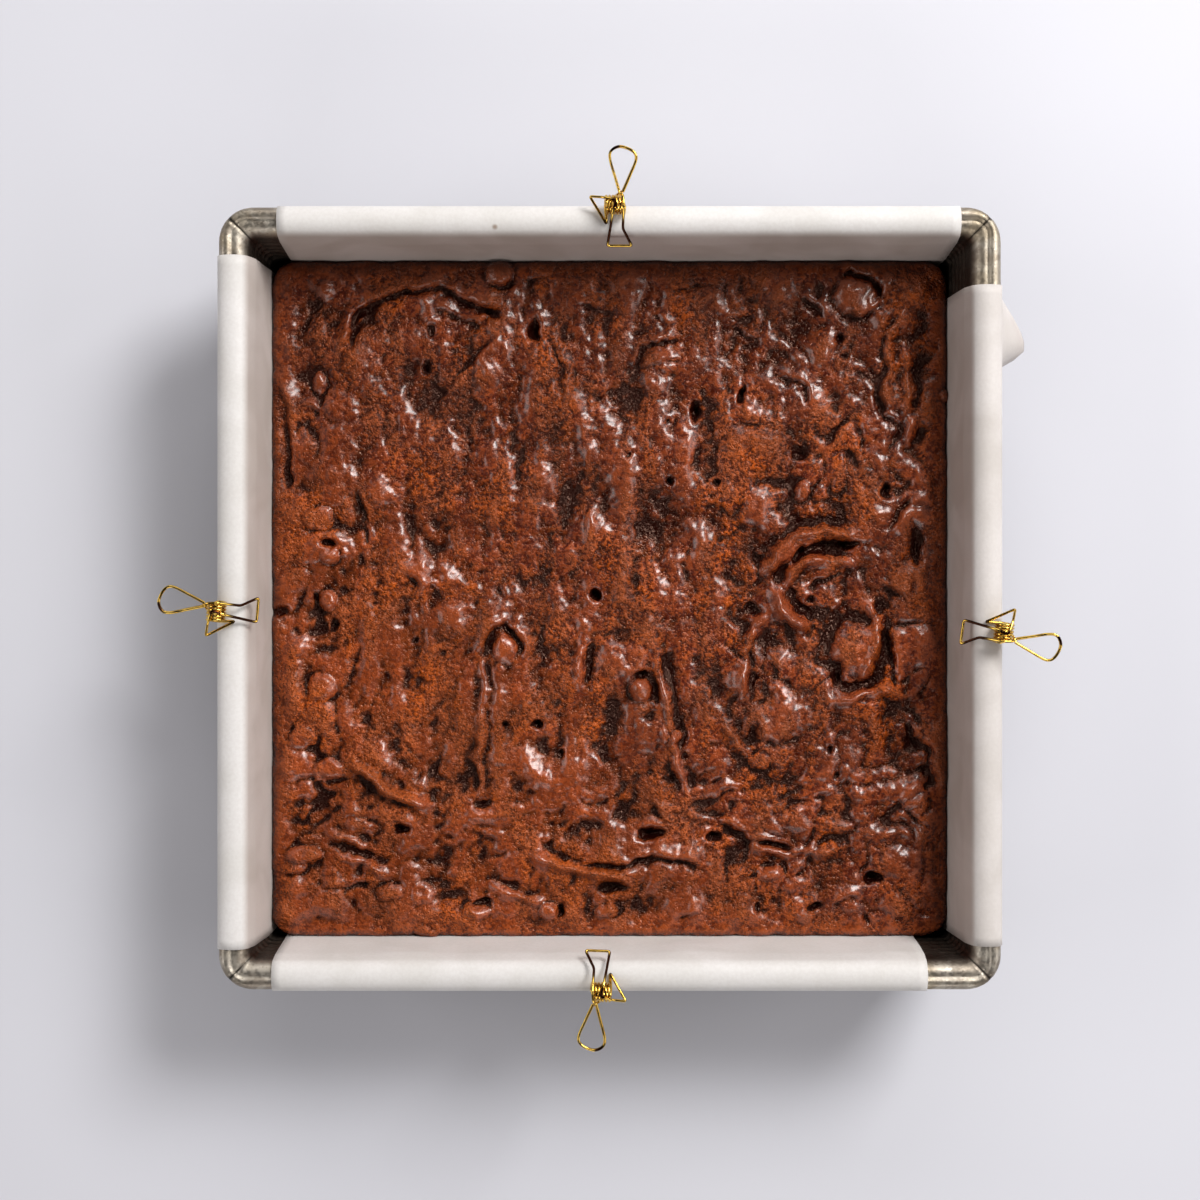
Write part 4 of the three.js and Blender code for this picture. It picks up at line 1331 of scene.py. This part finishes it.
def build_clips(finish):
    tree = make_wire_tree()
    path = clip_path()
    for node, side, place, turned in CLIP_PLACES:
        turn = Quaternion((0, 0, 1), math.radians(side + turned))
        origin = Vector((*place, RIM_TOP))
        points = [origin + turn @ (Vector(point) * MM) for point in path]
        curve = bpy.data.curves.new(node + "_path", "CURVE")
        curve.dimensions = "3D"
        spline = curve.splines.new("POLY")
        spline.points.add(len(points) - 1)
        for target, point in zip(spline.points, points):
            target.co = (*point, 1.0)
        source = bpy.data.objects.new(node + "_path", curve)
        bpy.context.collection.objects.link(source)
        sizes = {"Wire Radius": WIRE_RADIUS, "Sides": WIRE_SIDES, "Material": finish}
        clip = grow(source, tree, sizes, node + "_wire")
        back = turn.inverted()
        own = np.array([back @ (vertex.co - origin) for vertex in clip.data.vertices]) / MM
        across, along, level = own.T
        # painted dark reflection on the inner jaw's legs and the top bend
        leg = ease(along, 4.0, 6.0) * (1 - ease(along, 11.8, 12.2)) * (level > -1.4) * (across < 4)
        leg = leg * (level > 3.0 - 0.5 * along)
        bend = (level > 7.1) * (across > -1.2) * (across < 1.2) * (along < 4)
        point_values(clip, "dark_reflection", np.maximum(leg, bend))
        place_in_object(clip, node)


# The stage, the lights and the camera

def build_stage(finish):
    signs = [(-1, -1), (1, -1), (1, 1), (-1, 1)]
    corners = [(sign_x * FLOOR_HALF, sign_y * FLOOR_HALF, 0) for sign_x, sign_y in signs]
    floor = mesh_piece("floor", corners, [(0, 1, 2, 3)], smooth=False)
    floor.data.materials.append(finish)


def add_light(name, place, target, size, energy, colour):
    data = bpy.data.lights.new(name, "AREA")
    data.shape = "RECTANGLE"
    data.size, data.size_y = size
    data.energy = energy
    data.color = colour
    light = bpy.data.objects.new(name, data)
    light.location = place
    light.rotation_euler = (Vector(target) - Vector(place)).to_track_quat("-Z", "Y").to_euler()
    bpy.context.collection.objects.link(light)


def build_lights():
    add_light("window", WINDOW_PLACE, (0, 0, 0), WINDOW_SIZE, WINDOW_ENERGY, (1.0, 0.985, 0.965))
    for turn in range(FILL_COUNT):
        angle = math.radians(turn * 360 / FILL_COUNT)
        place = (FILL_RADIUS * math.cos(angle), FILL_RADIUS * math.sin(angle), FILL_HEIGHT)
        add_light(f"fill_{turn}", place, (0, 0, 0), FILL_SIZE, FILL_ENERGY, (1.0, 0.965, 0.945))
    world = bpy.data.worlds.new("soft_room")
    world.use_nodes = True
    background = world.node_tree.nodes["Background"]
    background.inputs["Color"].default_value = (0.94, 0.95, 1.0, 1.0)
    background.inputs["Strength"].default_value = 0.03
    bpy.context.scene.world = world
    bpy.context.scene.view_settings.view_transform = "Standard"


def build_camera():
    data = bpy.data.cameras.new("camera")
    data.sensor_fit = "HORIZONTAL"
    data.angle = 2 * math.atan(VIEW_WIDTH_AT_RIM / 2 / CAMERA_ABOVE_RIM)
    data.clip_end = 20
    camera = bpy.data.objects.new("camera", data)
    camera.location = (CAMERA_X, CAMERA_Y, RIM_TOP + CAMERA_ABOVE_RIM)
    bpy.context.collection.objects.link(camera)
    bpy.context.scene.camera = camera


build_camera()
build_lights()
build_stage(floor_finish())
build_tin(tin_finish())
paper = paper_finish()
# the grey values hold the dark wall showing through and painted shade, different for each side
build_strip(
    "liner_along_sheet", "liner_along", paper, floor_level=1.5 * MM,
    low=(-99.5 * MM, -110 * MM), high=(106 * MM, 104.4 * MM),
    seed=41, wall_and_shade_greys=((0.1, 0.0, 0.9), (1.0, 0.0, 0.5)), turned=True, curled=False,
)
build_strip(
    "liner_across_sheet", "liner_across", paper, floor_level=2.1 * MM,
    low=(-110 * MM, -109 * MM), high=(107.6 * MM, 98.3 * MM),
    seed=51, wall_and_shade_greys=((0.9, 0.0, 0.5), (1.0, 0.45, 0.8)), turned=False, curled=True,
)
build_brownie(crust_finish())
build_clips(wire_finish())
